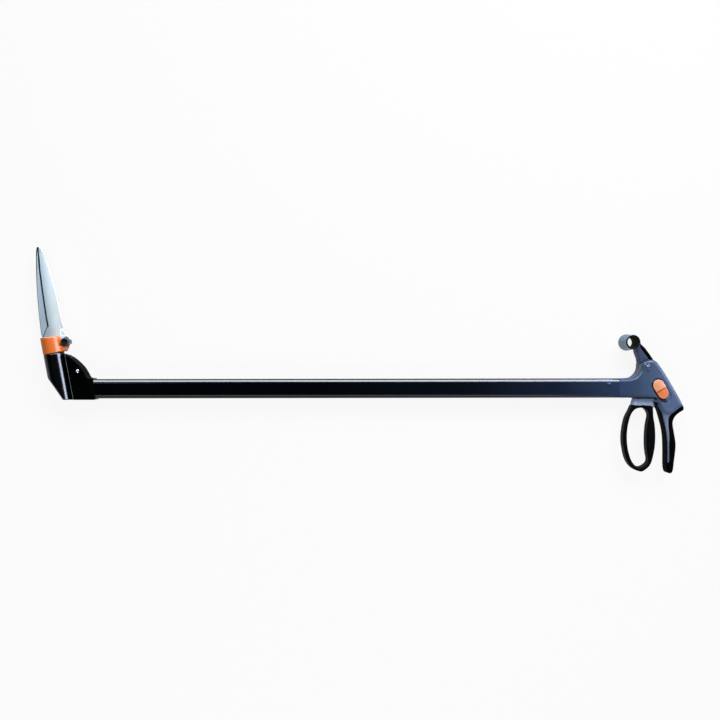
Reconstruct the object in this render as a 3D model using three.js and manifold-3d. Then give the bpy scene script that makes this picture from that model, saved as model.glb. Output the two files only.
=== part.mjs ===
import * as THREE from "three";
import { mergeVertices } from "three/addons/utils/BufferGeometryUtils.js";
import Module from "manifold-3d";

// Long handled edging shears, lying on their side. +X runs along the shaft to the handle, +Z is up.
// Sizes are in millimetres and angles in radians. Inside the tool group z = 0 is the mid-plane.

const wasm = await Module();
wasm.setup();

// Clearances
const seam = 0.3; // between pieces that touch
const run = 0.1; // radial play of a pin that turns in its hole
const play = 0.5; // radial play of a pin or nose that slides in a link
const over = 1; // how far a cutting solid passes the face that it cuts

// Shaft and its joints
const shaft = { height: 31, width: 24, corner: 7, wall: 1.5, length: 843.7 };
const jointReach = 44; // from the origin to the handle end of the shaft tube
const spigot = { length: 60, channel: 4.8 };
const shaftScrew = { inset: 17, headRadius: 2.6, headHeight: 1.2, radius: 1.4, length: 7, level: 6.5 };

// Handle: outlines follow the breadth of a gloved hand
const hand = 100;
const housing = { half: 20, edge: 4, wall: 2.8, coreHalf: 11, spineHalf: 16.4, spineEdge: 0.5 };
const grip = { half: 15.5, edge: 4, coreInset: 2.6 };
const pivotShare = [-0.03, 0.34];

// Loop lever
const lever = { half: 9, edge: 1.5, webHalf: 4, hub: 5.2, swing: THREE.MathUtils.degToRad(13) };
const loop = { half: 10, edge: 2.4, coreHalf: 6, coreInset: 2, sleeveTopShare: -0.275 };
const leverPin = { radius: 2.4, capRadius: 6, capHeight: 1.6 };

// Lock on the housing's face
const lock = {
  tilt: THREE.MathUtils.degToRad(-60), length: 33, width: 18, rise: 4, endRise: 1.6, travel: 6,
  trayDepth: 1.5, trayGap: 0.5, stemWidth: 5.6, stemLength: 9, pinRadius: 2.2, plateHeight: 2.4,
  plateDrop: 5, fingerWidth: 2.2, fingerGap: 0.4, hookDepth: 3, barWidth: 3,
};
const lockShare = [0.187, -0.015];
const lockPinShare = [0.11, 0.052];

// Hanging arm, eye and pad
const eye = { radius: 12, bore: 8.6, half: 20, edge: 1 };
const eyeShare = [-0.245, 0.73];
const arm = { half: 11, edge: 2.5, cheek: 4.4, cheekInner: 4.4, cheekRadius: 6, padGap: 0.3 };

// Pull rod, its clevises and the return spring
const rod = { radius: 3, end: 7, grip: 9 };
const clevis = { halfHeight: 4.6, cheek: 2.8, pinRadius: 2, slotGap: 0.4, reach: 8, root: 5 };
const spring = { wire: 0.8, coilRadius: 6, turns: 9, pitch: 4.4, steps: 8, sides: 5 };
const rodCollar = { radius: 7.4, length: 5 };
const guide = { length: 9, placeShares: [0.22, 0.45, 0.7] };

// Head: barrel axis leans back from the blades' side of the shaft
const lean = THREE.MathUtils.degToRad(10.5);
const headSetback = 47.5; // from the shaft tube's end to the barrel's axis
const barrel = { radius: 16.4, bore: 8.8, top: 56.4, floor: 9, shoulder: 11.6, flange: 13.6 };
const barrelNeck = { shoulderTop: 59.6, flangeTop: 61.2 };
const barrelRib = { half: 3, reach: 27, high: [40, 50], low: [-20.5, -11.5] };
const chamferShares = [[-1.02, 1.34], [0.06, -1.06]];
const swivelRing = { radius: 16, height: 0.8 };
const bracket = { half: 14.5, edge: 3, wall: 1.8, sleeve: 1.3, ledgeReach: 18.6, ledgeWall: 1.7 };
const crank = { pivot: [36.2, 22], hub: 5.4, half: 3.2, forkHalf: 6.6, nose: 3, prong: 2, armWidth: 7, screw: 2.2 };
const plunger = { radius: 8.3, neck: 3.4, base: 4, bodyTop: 50, tongueHalf: 3.9, tongueDepth: 3.6 };
const linkPin = { radius: 2, tailSlot: 1.4 };
const bladePivot = [23.5, 72];
const collar = { radius: 16.9, low: 57.5, high: 83.4, cavity: 13.6, lugHalf: 9, lugRadius: 7.2 };
const blade = { thickness: 2.6, gap: 0.15, length: 150, width: 30, heel: 150 }; // heel: scale below the pivot
const bolt = { radius: 3.9, headRadius: 6.6, headHeight: 3, knobRadius: 7.2, knobTop: 13, washer: 0.9 };

// Small screws
const screw = { radius: 1.45, headRadius: 3, headHeight: 2.2, length: 24, play: 0.35, sides: 12 };
const crankScrew = { headRadius: 3.4, headHeight: 2.2 };

const sides = { small: 12, pin: 24, round: 36, fine: 48 };

// Solids

function toSolid(geometry) {
  const bare = geometry.clone();
  bare.deleteAttribute("normal");
  bare.deleteAttribute("uv");
  const merged = mergeVertices(bare);
  const mesh = new wasm.Mesh({
    numProp: 3,
    vertProperties: new Float32Array(merged.attributes.position.array),
    triVerts: new Uint32Array(merged.index.array),
  });
  return new wasm.Manifold(mesh);
}

function toGeometry(solid) {
  const mesh = solid.getMesh();
  const geometry = new THREE.BufferGeometry();
  geometry.setAttribute("position", new THREE.BufferAttribute(new Float32Array(mesh.vertProperties), 3));
  geometry.setIndex(new THREE.BufferAttribute(new Uint32Array(mesh.triVerts), 1));
  geometry.computeVertexNormals();
  return geometry;
}

function shapeOf(points, holes = []) {
  const shape = new THREE.Shape(points.map(([x, y]) => new THREE.Vector2(x, y)));
  shape.holes = holes.map((hole) => new THREE.Path(hole.map(([x, y]) => new THREE.Vector2(x, y))));
  return shape;
}

// A flat plate between two levels of z.
function plate(points, low, high, holes) {
  const geometry = new THREE.ExtrudeGeometry(shapeOf(points, holes), { depth: high - low, bevelEnabled: false });
  geometry.translate(0, 0, low);
  return toSolid(geometry);
}

// A plate whose top and bottom edges are rounded.
function softPlate(points, low, high, edge, holes, steps = 2) {
  const geometry = new THREE.ExtrudeGeometry(shapeOf(points, holes), {
    depth: high - low - edge * 2,
    bevelThickness: edge,
    bevelSize: edge,
    bevelOffset: -edge,
    bevelSegments: steps,
  });
  geometry.translate(0, 0, low + edge);
  return toSolid(geometry);
}

function cylinderZ([x, y], radius, low, high, count = sides.small) {
  const geometry = new THREE.CylinderGeometry(radius, radius, high - low, count);
  geometry.rotateX(Math.PI / 2);
  geometry.translate(x, y, (low + high) / 2);
  return toSolid(geometry);
}

function cylinderX([y, z], radius, low, high, count = sides.small) {
  const geometry = new THREE.CylinderGeometry(radius, radius, high - low, count);
  geometry.rotateZ(Math.PI / 2);
  geometry.translate((low + high) / 2, y, z);
  return toSolid(geometry);
}

function cylinderY(radius, low, high, count = sides.small) {
  const geometry = new THREE.CylinderGeometry(radius, radius, high - low, count);
  geometry.translate(0, (low + high) / 2, 0);
  return toSolid(geometry);
}

function box([x0, x1], [y0, y1], [z0, z1]) {
  const geometry = new THREE.BoxGeometry(x1 - x0, y1 - y0, z1 - z0);
  geometry.translate((x0 + x1) / 2, (y0 + y1) / 2, (z0 + z1) / 2);
  return toSolid(geometry);
}

// A section in the YZ plane, drawn along X.
function alongX(points, low, high, holes) {
  const geometry = new THREE.ExtrudeGeometry(shapeOf(points, holes), { depth: high - low, bevelEnabled: false });
  geometry.rotateY(Math.PI / 2);
  geometry.translate(low, 0, 0);
  return toSolid(geometry);
}

// Outlines

function scaled(shares, x, y = x) {
  return shares.map(([u, v]) => [u * x, v * y]);
}

// A closed round curve through the points.
function curved(points, count) {
  const path = points.map(([x, y]) => new THREE.Vector3(x, y, 0));
  const curve = new THREE.CatmullRomCurve3(path, true, "centripetal");
  return curve.getSpacedPoints(count).slice(0, count).map((point) => [point.x, point.y]);
}

// The outline moved outwards by a distance; a negative distance moves it inwards.
function offset(points, distance) {
  const count = points.length;
  return points.map(([x, y], i) => {
    const [xa, ya] = points[(i + count - 1) % count];
    const [xb, yb] = points[(i + 1) % count];
    const inA = new THREE.Vector2(x - xa, y - ya).normalize();
    const outB = new THREE.Vector2(xb - x, yb - y).normalize();
    const normal = new THREE.Vector2(inA.y + outB.y, -inA.x - outB.x).normalize();
    const stretch = distance / Math.max(normal.dot(new THREE.Vector2(inA.y, -inA.x)), 0.4);
    return [x + normal.x * stretch, y + normal.y * stretch];
  });
}

function roundedRect(width, height, corner, steps = 4) {
  const points = [];
  for (const [signX, signY, start] of [[1, 1, 0], [-1, 1, 1], [-1, -1, 2], [1, -1, 3]]) {
    for (let i = 0; i <= steps; i += 1) {
      const angle = (start + i / steps) * Math.PI / 2;
      const x = signX * (width / 2 - corner) + corner * Math.cos(angle);
      const y = signY * (height / 2 - corner) + corner * Math.sin(angle);
      points.push([x, y]);
    }
  }
  return points;
}

function circle([x, y], radius, count) {
  return Array.from({ length: count }, (_, i) => {
    const angle = i / count * Math.PI * 2;
    return [x + radius * Math.cos(angle), y + radius * Math.sin(angle)];
  });
}

// A bar with round ends from one point to another.
function capsule([xa, ya], [xb, yb], radius, steps = 6) {
  const heading = Math.atan2(yb - ya, xb - xa);
  const points = [];
  for (const [x, y, start] of [[xb, yb, heading - Math.PI / 2], [xa, ya, heading + Math.PI / 2]]) {
    for (let i = 0; i <= steps; i += 1) {
      const angle = start + i / steps * Math.PI;
      points.push([x + radius * Math.cos(angle), y + radius * Math.sin(angle)]);
    }
  }
  return points;
}

// The radius of a faceted hole that a faceted pin can turn in.
function boreFor(radius, count = sides.pin) {
  return (radius + run) / Math.cos(Math.PI / count);
}

// Places that several pieces share

const point = ([u, v]) => [u * hand, v * hand];
const pivot = point(pivotShare);
const eyeCentre = point(eyeShare);
const rodStroke = 2 * pivot[1] * Math.tan(lever.swing / 2);
const handlePin = [pivot[0] + rodStroke / 2, 0];
const tubeEnd = -jointReach - shaft.length;
const headOrigin = [tubeEnd - headSetback, 0];
const rotateHead = ([t, s]) => [
  headOrigin[0] + t * Math.cos(lean) - s * Math.sin(lean),
  headOrigin[1] + t * Math.sin(lean) + s * Math.cos(lean),
];
const crankPivot = rotateHead(crank.pivot);
const crankHalfSwing = Math.atan(rodStroke / 2 / crankPivot[1]);
const headPin = [crankPivot[0] + rodStroke / 2, 0];
const plungerStroke = 2 * crank.pivot[0] * Math.tan(crankHalfSwing);
const grooveLevel = crank.pivot[1] - plungerStroke / 2;
const pinLevel = bladePivot[1] - plungerStroke / 2;
const bottomFace = -shaft.height / 2 - bracket.wall;

const lockPoint = point(lockShare);
const lockPin = point(lockPinShare);
const lockWay = [Math.cos(lock.tilt), Math.sin(lock.tilt)];
const lockSide = [-Math.sin(lock.tilt), Math.cos(lock.tilt)];
const fromLock = ([x, y], along, across) => [
  x + lockWay[0] * along + lockSide[0] * across,
  y + lockWay[1] * along + lockSide[1] * across,
];
const lockBlock = ([x, y], [a0, a1], [c0, c1]) => [
  fromLock([x, y], a0, c0), fromLock([x, y], a1, c0), fromLock([x, y], a1, c1), fromLock([x, y], a0, c1),
];

const tongueTop = point([-0.02, 0.46]);
const snoutScrew = { margin: 2.5, level: 9.5 }; // margin: from the shaft tube's end to the screw's head
const screwPlaces = [
  ...[[0.14, 0.275], [0.435, -0.225], [0.31, -0.355]].map(point),
  [screw.headRadius + snoutScrew.margin - jointReach, snoutScrew.level],
];
// The housing's back at each screw. The last screw is in the snout, which is about as thin as the shaft.
const screwBacks = screwPlaces.map((place, i) => {
  return i < screwPlaces.length - 1 ? -housing.half : -shaft.width / 2;
});
const screwTop = -housing.half + play + screw.length;

// Outlines as shares of the hand's breadth

const bodyShares = [
  [0.04, -0.155], [0.1, -0.17], [0.145, -0.205], [0.175, -0.26], [0.21, -0.335], [0.265, -0.39],
  [0.33, -0.4], [0.392, -0.386], [0.45, -0.345], [0.52, -0.296], [0.556, -0.283], [0.537, -0.242],
  [0.47, -0.115], [0.369, 0.06], [0.268, 0.232],
  [0.15, 0.405], [0.1, 0.448], [0, 0.445], [-0.105, 0.4], [-0.1, 0.33], [-0.115, 0.27],
  [-0.17, 0.2], [-0.24, 0.162], [-0.3, 0.155],
];
const spineShares = [
  [0.175, -0.26], [0.22, -0.37], [0.27, -0.546], [0.312, -0.75], [0.326, -0.93], [0.329, -1.18],
  [0.341, -1.18], [0.347, -0.93], [0.352, -0.75], [0.349, -0.58], [0.355, -0.46], [0.388, -0.4], [0.44, -0.35],
];
const gripShares = [
  [0.15, -0.215], [0.203, -0.367], [0.245, -0.511], [0.278, -0.645], [0.298, -0.797], [0.303, -1],
  [0.306, -1.26], [0.32, -1.33], [0.345, -1.36], [0.38, -1.36], [0.405, -1.32], [0.425, -1.19],
  [0.444, -1.04], [0.454, -0.94], [0.45, -0.84], [0.43, -0.686], [0.414, -0.56], [0.43, -0.484],
  [0.468, -0.428], [0.525, -0.385], [0.585, -0.345], [0.568, -0.275], [0.47, -0.27], [0.36, -0.31], [0.26, -0.28],
];
const cavityShares = [
  [-0.34, 0.129], [-0.22, 0.129], [-0.13, 0.195], [-0.086, 0.27], [-0.086, 0.405], [0.07, 0.42],
  [0.13, 0.33], [0.23, 0.19], [0.31, 0.05], [0.36, -0.06], [0.33, -0.15], [0.24, -0.19], [0.14, -0.15],
  [0.11, -0.129], [-0.34, -0.129],
];
const slotShares = [[-0.32, -0.3], [0.1335, -0.3], [0.1335, -0.1], [-0.32, -0.1]];
const armShares = [
  [-0.105, 0.405], [-0.12, 0.47], [-0.145, 0.55], [-0.17, 0.64], [-0.245, 0.73], [-0.13, 0.745],
  [-0.06, 0.665], [0.02, 0.555], [0.095, 0.455], [0, 0.452],
];
const padShares = [
  [-0.1, 0.64], [-0.02, 0.53], [0.04, 0.452], [0.102, 0.452], [0.034, 0.553], [-0.035, 0.645], [-0.105, 0.71],
];
const loopOuterShares = [
  [-0.2, -0.24], [-0.27, -0.36], [-0.325, -0.47], [-0.355, -0.59], [-0.375, -0.725], [-0.377, -0.85],
  [-0.36, -0.98], [-0.33, -1.11], [-0.28, -1.215], [-0.21, -1.285], [-0.14, -1.32], [-0.075, -1.33],
  [-0.02, -1.3], [0.045, -1.24], [0.085, -1.155], [0.11, -1.05], [0.13, -0.94], [0.14, -0.76],
  [0.13, -0.585], [0.11, -0.46], [0.105, -0.36], [0.118, -0.27], [0.02, -0.2], [-0.1, -0.19],
];
const loopInnerShares = [
  [-0.1, -0.315], [-0.18, -0.34], [-0.24, -0.41], [-0.28, -0.525], [-0.305, -0.655], [-0.313, -0.8],
  [-0.302, -0.94], [-0.276, -1.06], [-0.23, -1.175], [-0.17, -1.24], [-0.1, -1.257], [-0.04, -1.235],
  [0.015, -1.185], [0.025, -1.13], [0.012, -1.05], [0, -0.95], [-0.003, -0.805], [0.007, -0.64],
  [0.022, -0.54], [0.04, -0.44], [0.025, -0.385], [-0.02, -0.33],
];
const neckShares = [
  [-0.185, -0.12], [-0.19, -0.16], [-0.205, -0.27], [0.115, -0.27], [0.12, -0.2], [0.12, -0.17], [0.085, -0.12],
];
const webShares = [
  [-0.17, -0.13], [0.085, -0.13], [0.08, -0.06], [0.065, 0.08], [0.045, 0.2], [0.01, 0.34], [-0.06, 0.34],
  [-0.06, 0.2], [-0.055, 0.05], [-0.055, -0.06], [-0.09, -0.095],
];

// Blade outlines in the barrel's frame: shares of blade width across and of blade length above the pivot
const movingBladeShares = [
  [0.16, 1.053], [0.32, 1.04], [0.45, 0.985], [0.56, 0.857], [0.63, 0.763], [0.69, 0.625], [0.72, 0.486],
  [0.747, 0.356], [0.77, 0.256], [0.773, 0.18], [0.72, 0.15], [0.66, 0.115], [0.75, 0.09], [0.86, 0.072],
  [0.97, 0.04], [1.04, 0], [1.03, -0.03], [0.92, -0.053], [0.75, -0.06], [0.3, -0.062], [-0.12, -0.06],
  [-0.2, -0.04], [-0.18, 0.01], [-0.4, 0.06], [-0.413, 0.1], [-0.267, 0.148], [-0.08, 0.203], [-0.07, 0.27],
  [-0.04, 0.43], [-0.003, 0.6], [0.047, 0.797], [0.12, 0.95],
];
const fixedBladeShares = [
  [0.12, 1.05], [0.02, 0.965], [-0.09, 0.86], [-0.165, 0.764], [-0.29, 0.586], [-0.393, 0.399],
  [-0.467, 0.211], [-0.49, 0.121], [-0.43, 0.075], [-0.43, -0.055], [0.7, -0.062], [0.92, -0.055],
  [1.03, -0.03], [1.04, 0], [0.95, 0.04], [0.7, 0.075], [0.55, 0.16], [0.5, 0.33], [0.44, 0.6],
  [0.38, 0.82], [0.27, 1],
];

// Colours
const paints = {
  body: ["#4d5f78", 0.45, 0.1],
  black: ["#0d0e12", 0.7, 0],
  dark: ["#14161d", 0.38, 0.15],
  tube: ["#2a3345", 0.35, 0.4],
  orange: ["#ef6a1a", 0.4, 0],
  steel: ["#c3d2da", 0.3, 0.9],
  zinc: ["#8e9399", 0.45, 0.8],
  nylon: ["#d8d6cc", 0.6, 0],
};

function part(name, solid, paint) {
  const [color, roughness, metalness] = paints[paint];
  const mesh = new THREE.Mesh(toGeometry(solid), new THREE.MeshStandardMaterial({ color, roughness, metalness }));
  mesh.name = name;
  return mesh;
}

// Halves of a solid on either side of the mid-plane.
function halves(solid) {
  const far = jointReach + shaft.length + hand * 2;
  const above = box([-far, far], [-far, far], [seam / 2, hand]);
  const below = box([-far, far], [-far, far], [-hand, -seam / 2]);
  return [solid.intersect(above), solid.intersect(below)];
}

// Shaft

function shaftTube() {
  const outer = roundedRect(shaft.width, shaft.height, shaft.corner);
  const inner = roundedRect(shaft.width - 2 * shaft.wall, shaft.height - 2 * shaft.wall, shaft.corner - shaft.wall);
  const place = [-jointReach - shaftScrew.inset, shaftScrew.level];
  const holes = cylinderZ(place, shaftScrew.radius + screw.play, -shaft.width, shaft.width);
  return part("shaft_tube", alongX(outer, tubeEnd, -jointReach, [inner]).subtract(holes), "tube");
}

// The part of a shell that fills the tube's end, with a channel for the rod.
function spigotSolid(low, high) {
  const gap = 2 * (shaft.wall + seam);
  const section = roundedRect(shaft.width - gap, shaft.height - gap, shaft.corner - shaft.wall - seam);
  return alongX(section, low, high);
}

function rodChannel(low, high) {
  return cylinderX([0, 0], spigot.channel, low, high);
}

function shaftScrews() {
  const x = -jointReach - shaftScrew.inset;
  const face = shaft.width / 2 + seam;
  return [["front", 1], ["rear", -1]].map(([side, sign]) => {
    const place = [x, shaftScrew.level];
    const [headLow, headHigh] = [sign * face, sign * (face + shaftScrew.headHeight)].sort((a, b) => a - b);
    const [low, high] = [sign * face, sign * (face - shaftScrew.length)].sort((a, b) => a - b);
    const head = cylinderZ(place, shaftScrew.headRadius, headLow, headHigh);
    return part(`shaft_screw_${side}`, head.add(cylinderZ(place, shaftScrew.radius, low, high)), "zinc");
  });
}

// Pull rod

// A fork on the rod's end, open along z for the arm that it holds.
function rodClevis(name, [x], facing, armHalf) {
  const inner = armHalf + clevis.slotGap;
  const outer = inner + clevis.cheek;
  const back = x - facing * (clevis.reach + clevis.root);
  const nose = x + facing * clevis.halfHeight;
  const span = [Math.min(back, nose), Math.max(back, nose)];
  const slotBack = x - facing * clevis.reach;
  const slotSpan = [Math.min(slotBack, nose + facing * over), Math.max(slotBack, nose + facing * over)];
  let body = box(span, [-clevis.halfHeight, clevis.halfHeight], [-outer, outer]);
  body = body.subtract(box(slotSpan, [-hand, hand], [-inner, inner]));
  body = body.subtract(cylinderZ([x, 0], boreFor(clevis.pinRadius), -hand, hand, sides.pin));
  const rodSpan = [Math.min(back - facing * over, slotBack - facing * seam * 4), Math.max(back - facing * over, slotBack)];
  body = body.subtract(cylinderX([0, 0], rod.radius + seam, rodSpan[0], rodSpan[1]));
  return part(name, body, "zinc");
}

function clevisPin(name, place, armHalf) {
  const half = armHalf + clevis.slotGap + clevis.cheek;
  return part(name, cylinderZ(place, clevis.pinRadius, -half, half, sides.pin), "steel");
}

function pullRod() {
  const low = headPin[0] + clevis.reach + seam * 5;
  const high = handlePin[0] - clevis.reach - seam * 5;
  return part("pull_rod", cylinderX([0, 0], rod.radius, low, high), "steel");
}

const springHigh = -jointReach - spigot.length - seam;
const springLow = springHigh - spring.turns * spring.pitch - 2 * spring.wire;

function returnSpring() {
  const points = [];
  for (let i = 0; i <= spring.turns * spring.steps; i += 1) {
    const angle = i / spring.steps * Math.PI * 2;
    const x = springLow + spring.wire + i / spring.steps * spring.pitch;
    points.push(new THREE.Vector3(x, spring.coilRadius * Math.cos(angle), spring.coilRadius * Math.sin(angle)));
  }
  const path = new THREE.CatmullRomCurve3(points);
  const section = shapeOf(circle([0, 0], spring.wire, spring.sides));
  const geometry = new THREE.ExtrudeGeometry(section, { steps: points.length - 1, extrudePath: path });
  return part("return_spring", toSolid(geometry), "steel");
}

function rodCollarPart() {
  const high = springLow - seam;
  const ring = cylinderX([0, 0], rodCollar.radius, high - rodCollar.length, high, sides.pin);
  return part("rod_collar", ring.subtract(cylinderX([0, 0], rod.radius + seam, tubeEnd, high + over)), "zinc");
}

function rodGuides() {
  return guide.placeShares.map((share, i) => {
    const x = tubeEnd + share * shaft.length;
    const disc = spigotSolid(x, x + guide.length);
    const hole = cylinderX([0, 0], rod.radius + play, x - over, x + guide.length + over);
    return part(`rod_guide_${i + 1}`, disc.subtract(hole), "nylon");
  });
}

// Handle housing

function housingSolid() {
  const jointFace = [[-jointReach, shaft.height / 2], [-jointReach, -shaft.height / 2]];
  const outline = [...scaled(bodyShares, hand), ...jointFace];
  let solid = softPlate(outline, -housing.half, housing.half, housing.edge);
  const snoutHalf = shaft.width / 2;
  const snout = roundedRect(shaft.width, shaft.height, shaft.corner);
  const taper = [[-jointReach, snoutHalf], [pivotShare[0] * hand - lever.half, housing.half + over]];
  solid = solid.intersect(snoutLimit(taper));
  solid = solid.add(alongX(snout, -jointReach, -jointReach / 2));
  const core = offset(scaled(gripShares, hand), -grip.coreInset);
  solid = solid.add(plate(core, -housing.coreHalf, housing.coreHalf));
  solid = solid.add(softPlate(scaled(spineShares, hand), -housing.spineHalf, housing.spineHalf, housing.spineEdge));
  return solid;
}

// Space beside the shaft where the housing narrows to the tube's thickness.
function snoutLimit([[x0, z0], [x1, z1]]) {
  const far = hand * 2;
  const profile = [[x0, -z0], [x1, -z1], [far, -z1], [far, z1], [x1, z1], [x0, z0]];
  const geometry = new THREE.ExtrudeGeometry(shapeOf(profile), { depth: far * 2, bevelEnabled: false });
  geometry.rotateX(Math.PI / 2);
  geometry.translate(0, far, 0);
  return toSolid(geometry);
}

function housingHoles() {
  const inside = housing.half - housing.wall;
  const holes = [
    plate(scaled(cavityShares, hand), -inside, inside),
    plate(scaled(slotShares, hand), -lever.half - seam, lever.half + seam),
    rodChannel(-jointReach - spigot.length - over, -hand / 4),
    cylinderZ(pivot, leverPin.radius + seam, -hand, hand, sides.pin),
    plate(scaled(armShares, hand), -arm.half - seam, arm.half + seam),
  ];
  const recess = leverPin.capHeight + 2 * seam - housing.half;
  holes.push(cylinderZ(pivot, leverPin.capRadius + seam, -hand, recess, sides.pin));
  const trayLevel = housing.half - lock.trayDepth;
  const half = lock.width / 2 + lock.trayGap;
  const start = fromLock(lockPoint, half - lock.length / 2 - lock.trayGap, 0);
  const end = fromLock(lockPoint, lock.length / 2 - half + lock.travel + lock.trayGap, 0);
  holes.push(plate(capsule(start, end, half), trayLevel, housing.half + over));
  const tongueHalf = lever.webHalf + clevis.slotGap + arm.cheek + seam;
  holes.push(plate(capsule(pivot, tongueTop, arm.cheekRadius + seam), -tongueHalf, tongueHalf));
  const slotHalf = lock.stemWidth / 2 + seam;
  const slotSpan = [-lock.stemLength / 2 - seam, lock.stemLength / 2 + lock.travel + seam];
  holes.push(plate(lockBlock(lockPoint, slotSpan, [-slotHalf, slotHalf]), 0, hand));
  screwPlaces.forEach((place, i) => {
    const depth = screwBacks[i] + screw.headHeight + play;
    holes.push(cylinderZ(place, screw.headRadius + screw.play, -hand, depth));
    holes.push(cylinderZ(place, screw.radius + screw.play, -hand, screwTop + screw.headHeight + play));
  });
  const x = -jointReach - shaftScrew.inset;
  holes.push(cylinderZ([x, shaftScrew.level], shaftScrew.radius + screw.play, -hand, hand));
  return holes;
}

// Columns inside the shells that the screws and the lever's pin pass through.
function housingColumns() {
  const inside = housing.half - over;
  const [first] = screwPlaces;
  const hubGap = lever.webHalf + clevis.slotGap + arm.cheek + seam;
  return [
    cylinderZ(first, screw.headRadius + over, -inside, inside),
    cylinderZ(pivot, leverPin.radius + housing.wall, hubGap, inside, sides.pin),
    cylinderZ(pivot, leverPin.capRadius + housing.wall / 2, -inside, -hubGap, sides.pin),
  ];
}

function housingShells() {
  let solid = housingSolid();
  const [cavity, ...rest] = housingHoles();
  solid = solid.subtract(cavity);
  for (const column of housingColumns()) {
    solid = solid.add(column);
  }
  solid = solid.add(spigotSolid(-jointReach - spigot.length, -jointReach + over));
  for (const hole of rest) {
    solid = solid.subtract(hole);
  }
  const [front, rear] = halves(solid);
  return [part("handle_front", front, "body"), part("handle_rear", rear, "body")];
}

function gripSoft() {
  const outline = scaled(gripShares, hand);
  let soft = softPlate(outline, -grip.half, grip.half, grip.edge / 2);
  const core = offset(outline, seam - grip.coreInset);
  soft = soft.subtract(plate(core, -housing.coreHalf - seam, housing.coreHalf + seam));
  soft = soft.subtract(plate(offset(scaled(spineShares, hand), seam), -hand, hand));
  soft = soft.subtract(plate(offset(scaled(bodyShares, hand), seam), -hand, hand));
  return part("grip_soft", soft, "black");
}

function housingScrews() {
  return screwPlaces.map((place, i) => {
    const low = screwBacks[i] + play;
    const head = cylinderZ(place, screw.headRadius, low, low + screw.headHeight - seam);
    const shank = cylinderZ(place, screw.radius, low, screwTop);
    return part(`housing_screw_${i + 1}`, head.add(shank), "zinc");
  });
}

function leverPinParts() {
  const reach = housing.half;
  const low = seam - reach;
  const pin = cylinderZ(pivot, leverPin.radius, low + leverPin.capHeight + seam, reach, sides.pin);
  const cap = (level) => cylinderZ(pivot, leverPin.capRadius, level, level + leverPin.capHeight, sides.pin);
  return [
    part("lever_pin", pin, "steel"),
    part("pin_cap_front", cap(reach + seam), "body"),
    part("pin_cap_rear", cap(low), "body"),
  ];
}

// Arm, eye and pad

function hangerParts() {
  const eyeCut = cylinderZ(eyeCentre, eye.radius + seam, -hand, hand, sides.round);
  const bodyCut = plate(offset(scaled(bodyShares, hand), seam), -hand, hand);
  const bar = softPlate(scaled(armShares, hand), -arm.half, arm.half, arm.edge);
  const pad = softPlate(scaled(padShares, hand), -arm.half, arm.half, arm.edge / 2);
  const padCut = plate(offset(scaled(padShares, hand), arm.padGap), -hand, hand);
  const cheekOuter = lever.webHalf + clevis.slotGap + arm.cheek;
  let tongue = plate(capsule(pivot, tongueTop, arm.cheekRadius), -cheekOuter, cheekOuter);
  const slotHalf = arm.cheekInner;
  const slot = [pivot[1] - hand, pivot[1] + lever.hub + over];
  tongue = tongue.subtract(box([-hand, hand], slot, [-slotHalf, slotHalf]));
  tongue = tongue.subtract(cylinderZ(pivot, leverPin.radius + seam, -hand, hand, sides.pin));
  const solid = bar.subtract(bodyCut).add(tongue).subtract(padCut).subtract(eyeCut);
  const ring = softPlate(circle([0, 0], eye.radius, sides.round), -eye.half, eye.half, eye.edge, undefined, 1);
  const tube = ring.subtract(cylinderZ([0, 0], eye.bore, -hand, hand, sides.round)).translate([...eyeCentre, 0]);
  return [
    part("hanger_arm", solid, "body"),
    part("hanger_eye", tube, "dark"),
    part("hanger_pad", pad.subtract(bodyCut).subtract(eyeCut), "black"),
  ];
}

// Lever

function hookSolid() {
  const locked = fromLock(lockPin, lock.travel, 0);
  const near = lock.pinRadius + lock.fingerGap;
  const far = near + lock.fingerWidth;
  const barTop = lock.pinRadius + over;
  const finger = lockBlock(locked, [-lock.hookDepth, barTop + lock.barWidth], [near, far]);
  const bar = lockBlock(locked, [barTop, barTop + lock.barWidth], [-lock.width / 2, far]);
  return plate(finger, -lever.webHalf, lever.webHalf).add(plate(bar, -lever.webHalf, lever.webHalf));
}

function loopOutlines() {
  return [curved(scaled(loopOuterShares, hand), 56), curved(scaled(loopInnerShares, hand), 48)];
}

function leverParts() {
  const [outer, inner] = loopOutlines();
  const neckCut = loop.sleeveTopShare * hand;
  const below = (level) => box([-hand, hand], [-hand * 2, level], [-hand, hand]);
  const coreOuter = offset(outer, -loop.coreInset);
  const coreInner = offset(inner, loop.coreInset);
  const core = plate(coreOuter, -loop.coreHalf, loop.coreHalf, [coreInner]).intersect(below(neckCut + over));
  let body = softPlate(scaled(neckShares, hand), -lever.half, lever.half, lever.edge);
  body = body.add(plate(scaled(webShares, hand), -lever.webHalf, lever.webHalf));
  body = body.add(cylinderZ(pivot, lever.hub, -lever.webHalf, lever.webHalf, sides.pin));
  body = body.add(hookSolid());
  body = body.add(core);
  body = body.subtract(cylinderZ(pivot, boreFor(leverPin.radius), -hand, hand, sides.pin));
  body = body.subtract(cylinderZ(handlePin, clevis.pinRadius + play, -hand, hand, sides.pin));
  const wider = offset(outer, seam - loop.coreInset);
  const narrower = offset(inner, loop.coreInset - seam);
  let sleeve = softPlate(outer, -loop.half, loop.half, loop.edge, [inner]).intersect(below(neckCut));
  sleeve = sleeve.subtract(plate(wider, -loop.coreHalf - seam, loop.coreHalf + seam, [narrower]));
  sleeve = sleeve.subtract(plate(offset(scaled(neckShares, hand), seam), -hand, hand));
  return [part("lever", body, "body"), part("lever_sleeve", sleeve, "black")];
}

// Lock

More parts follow.
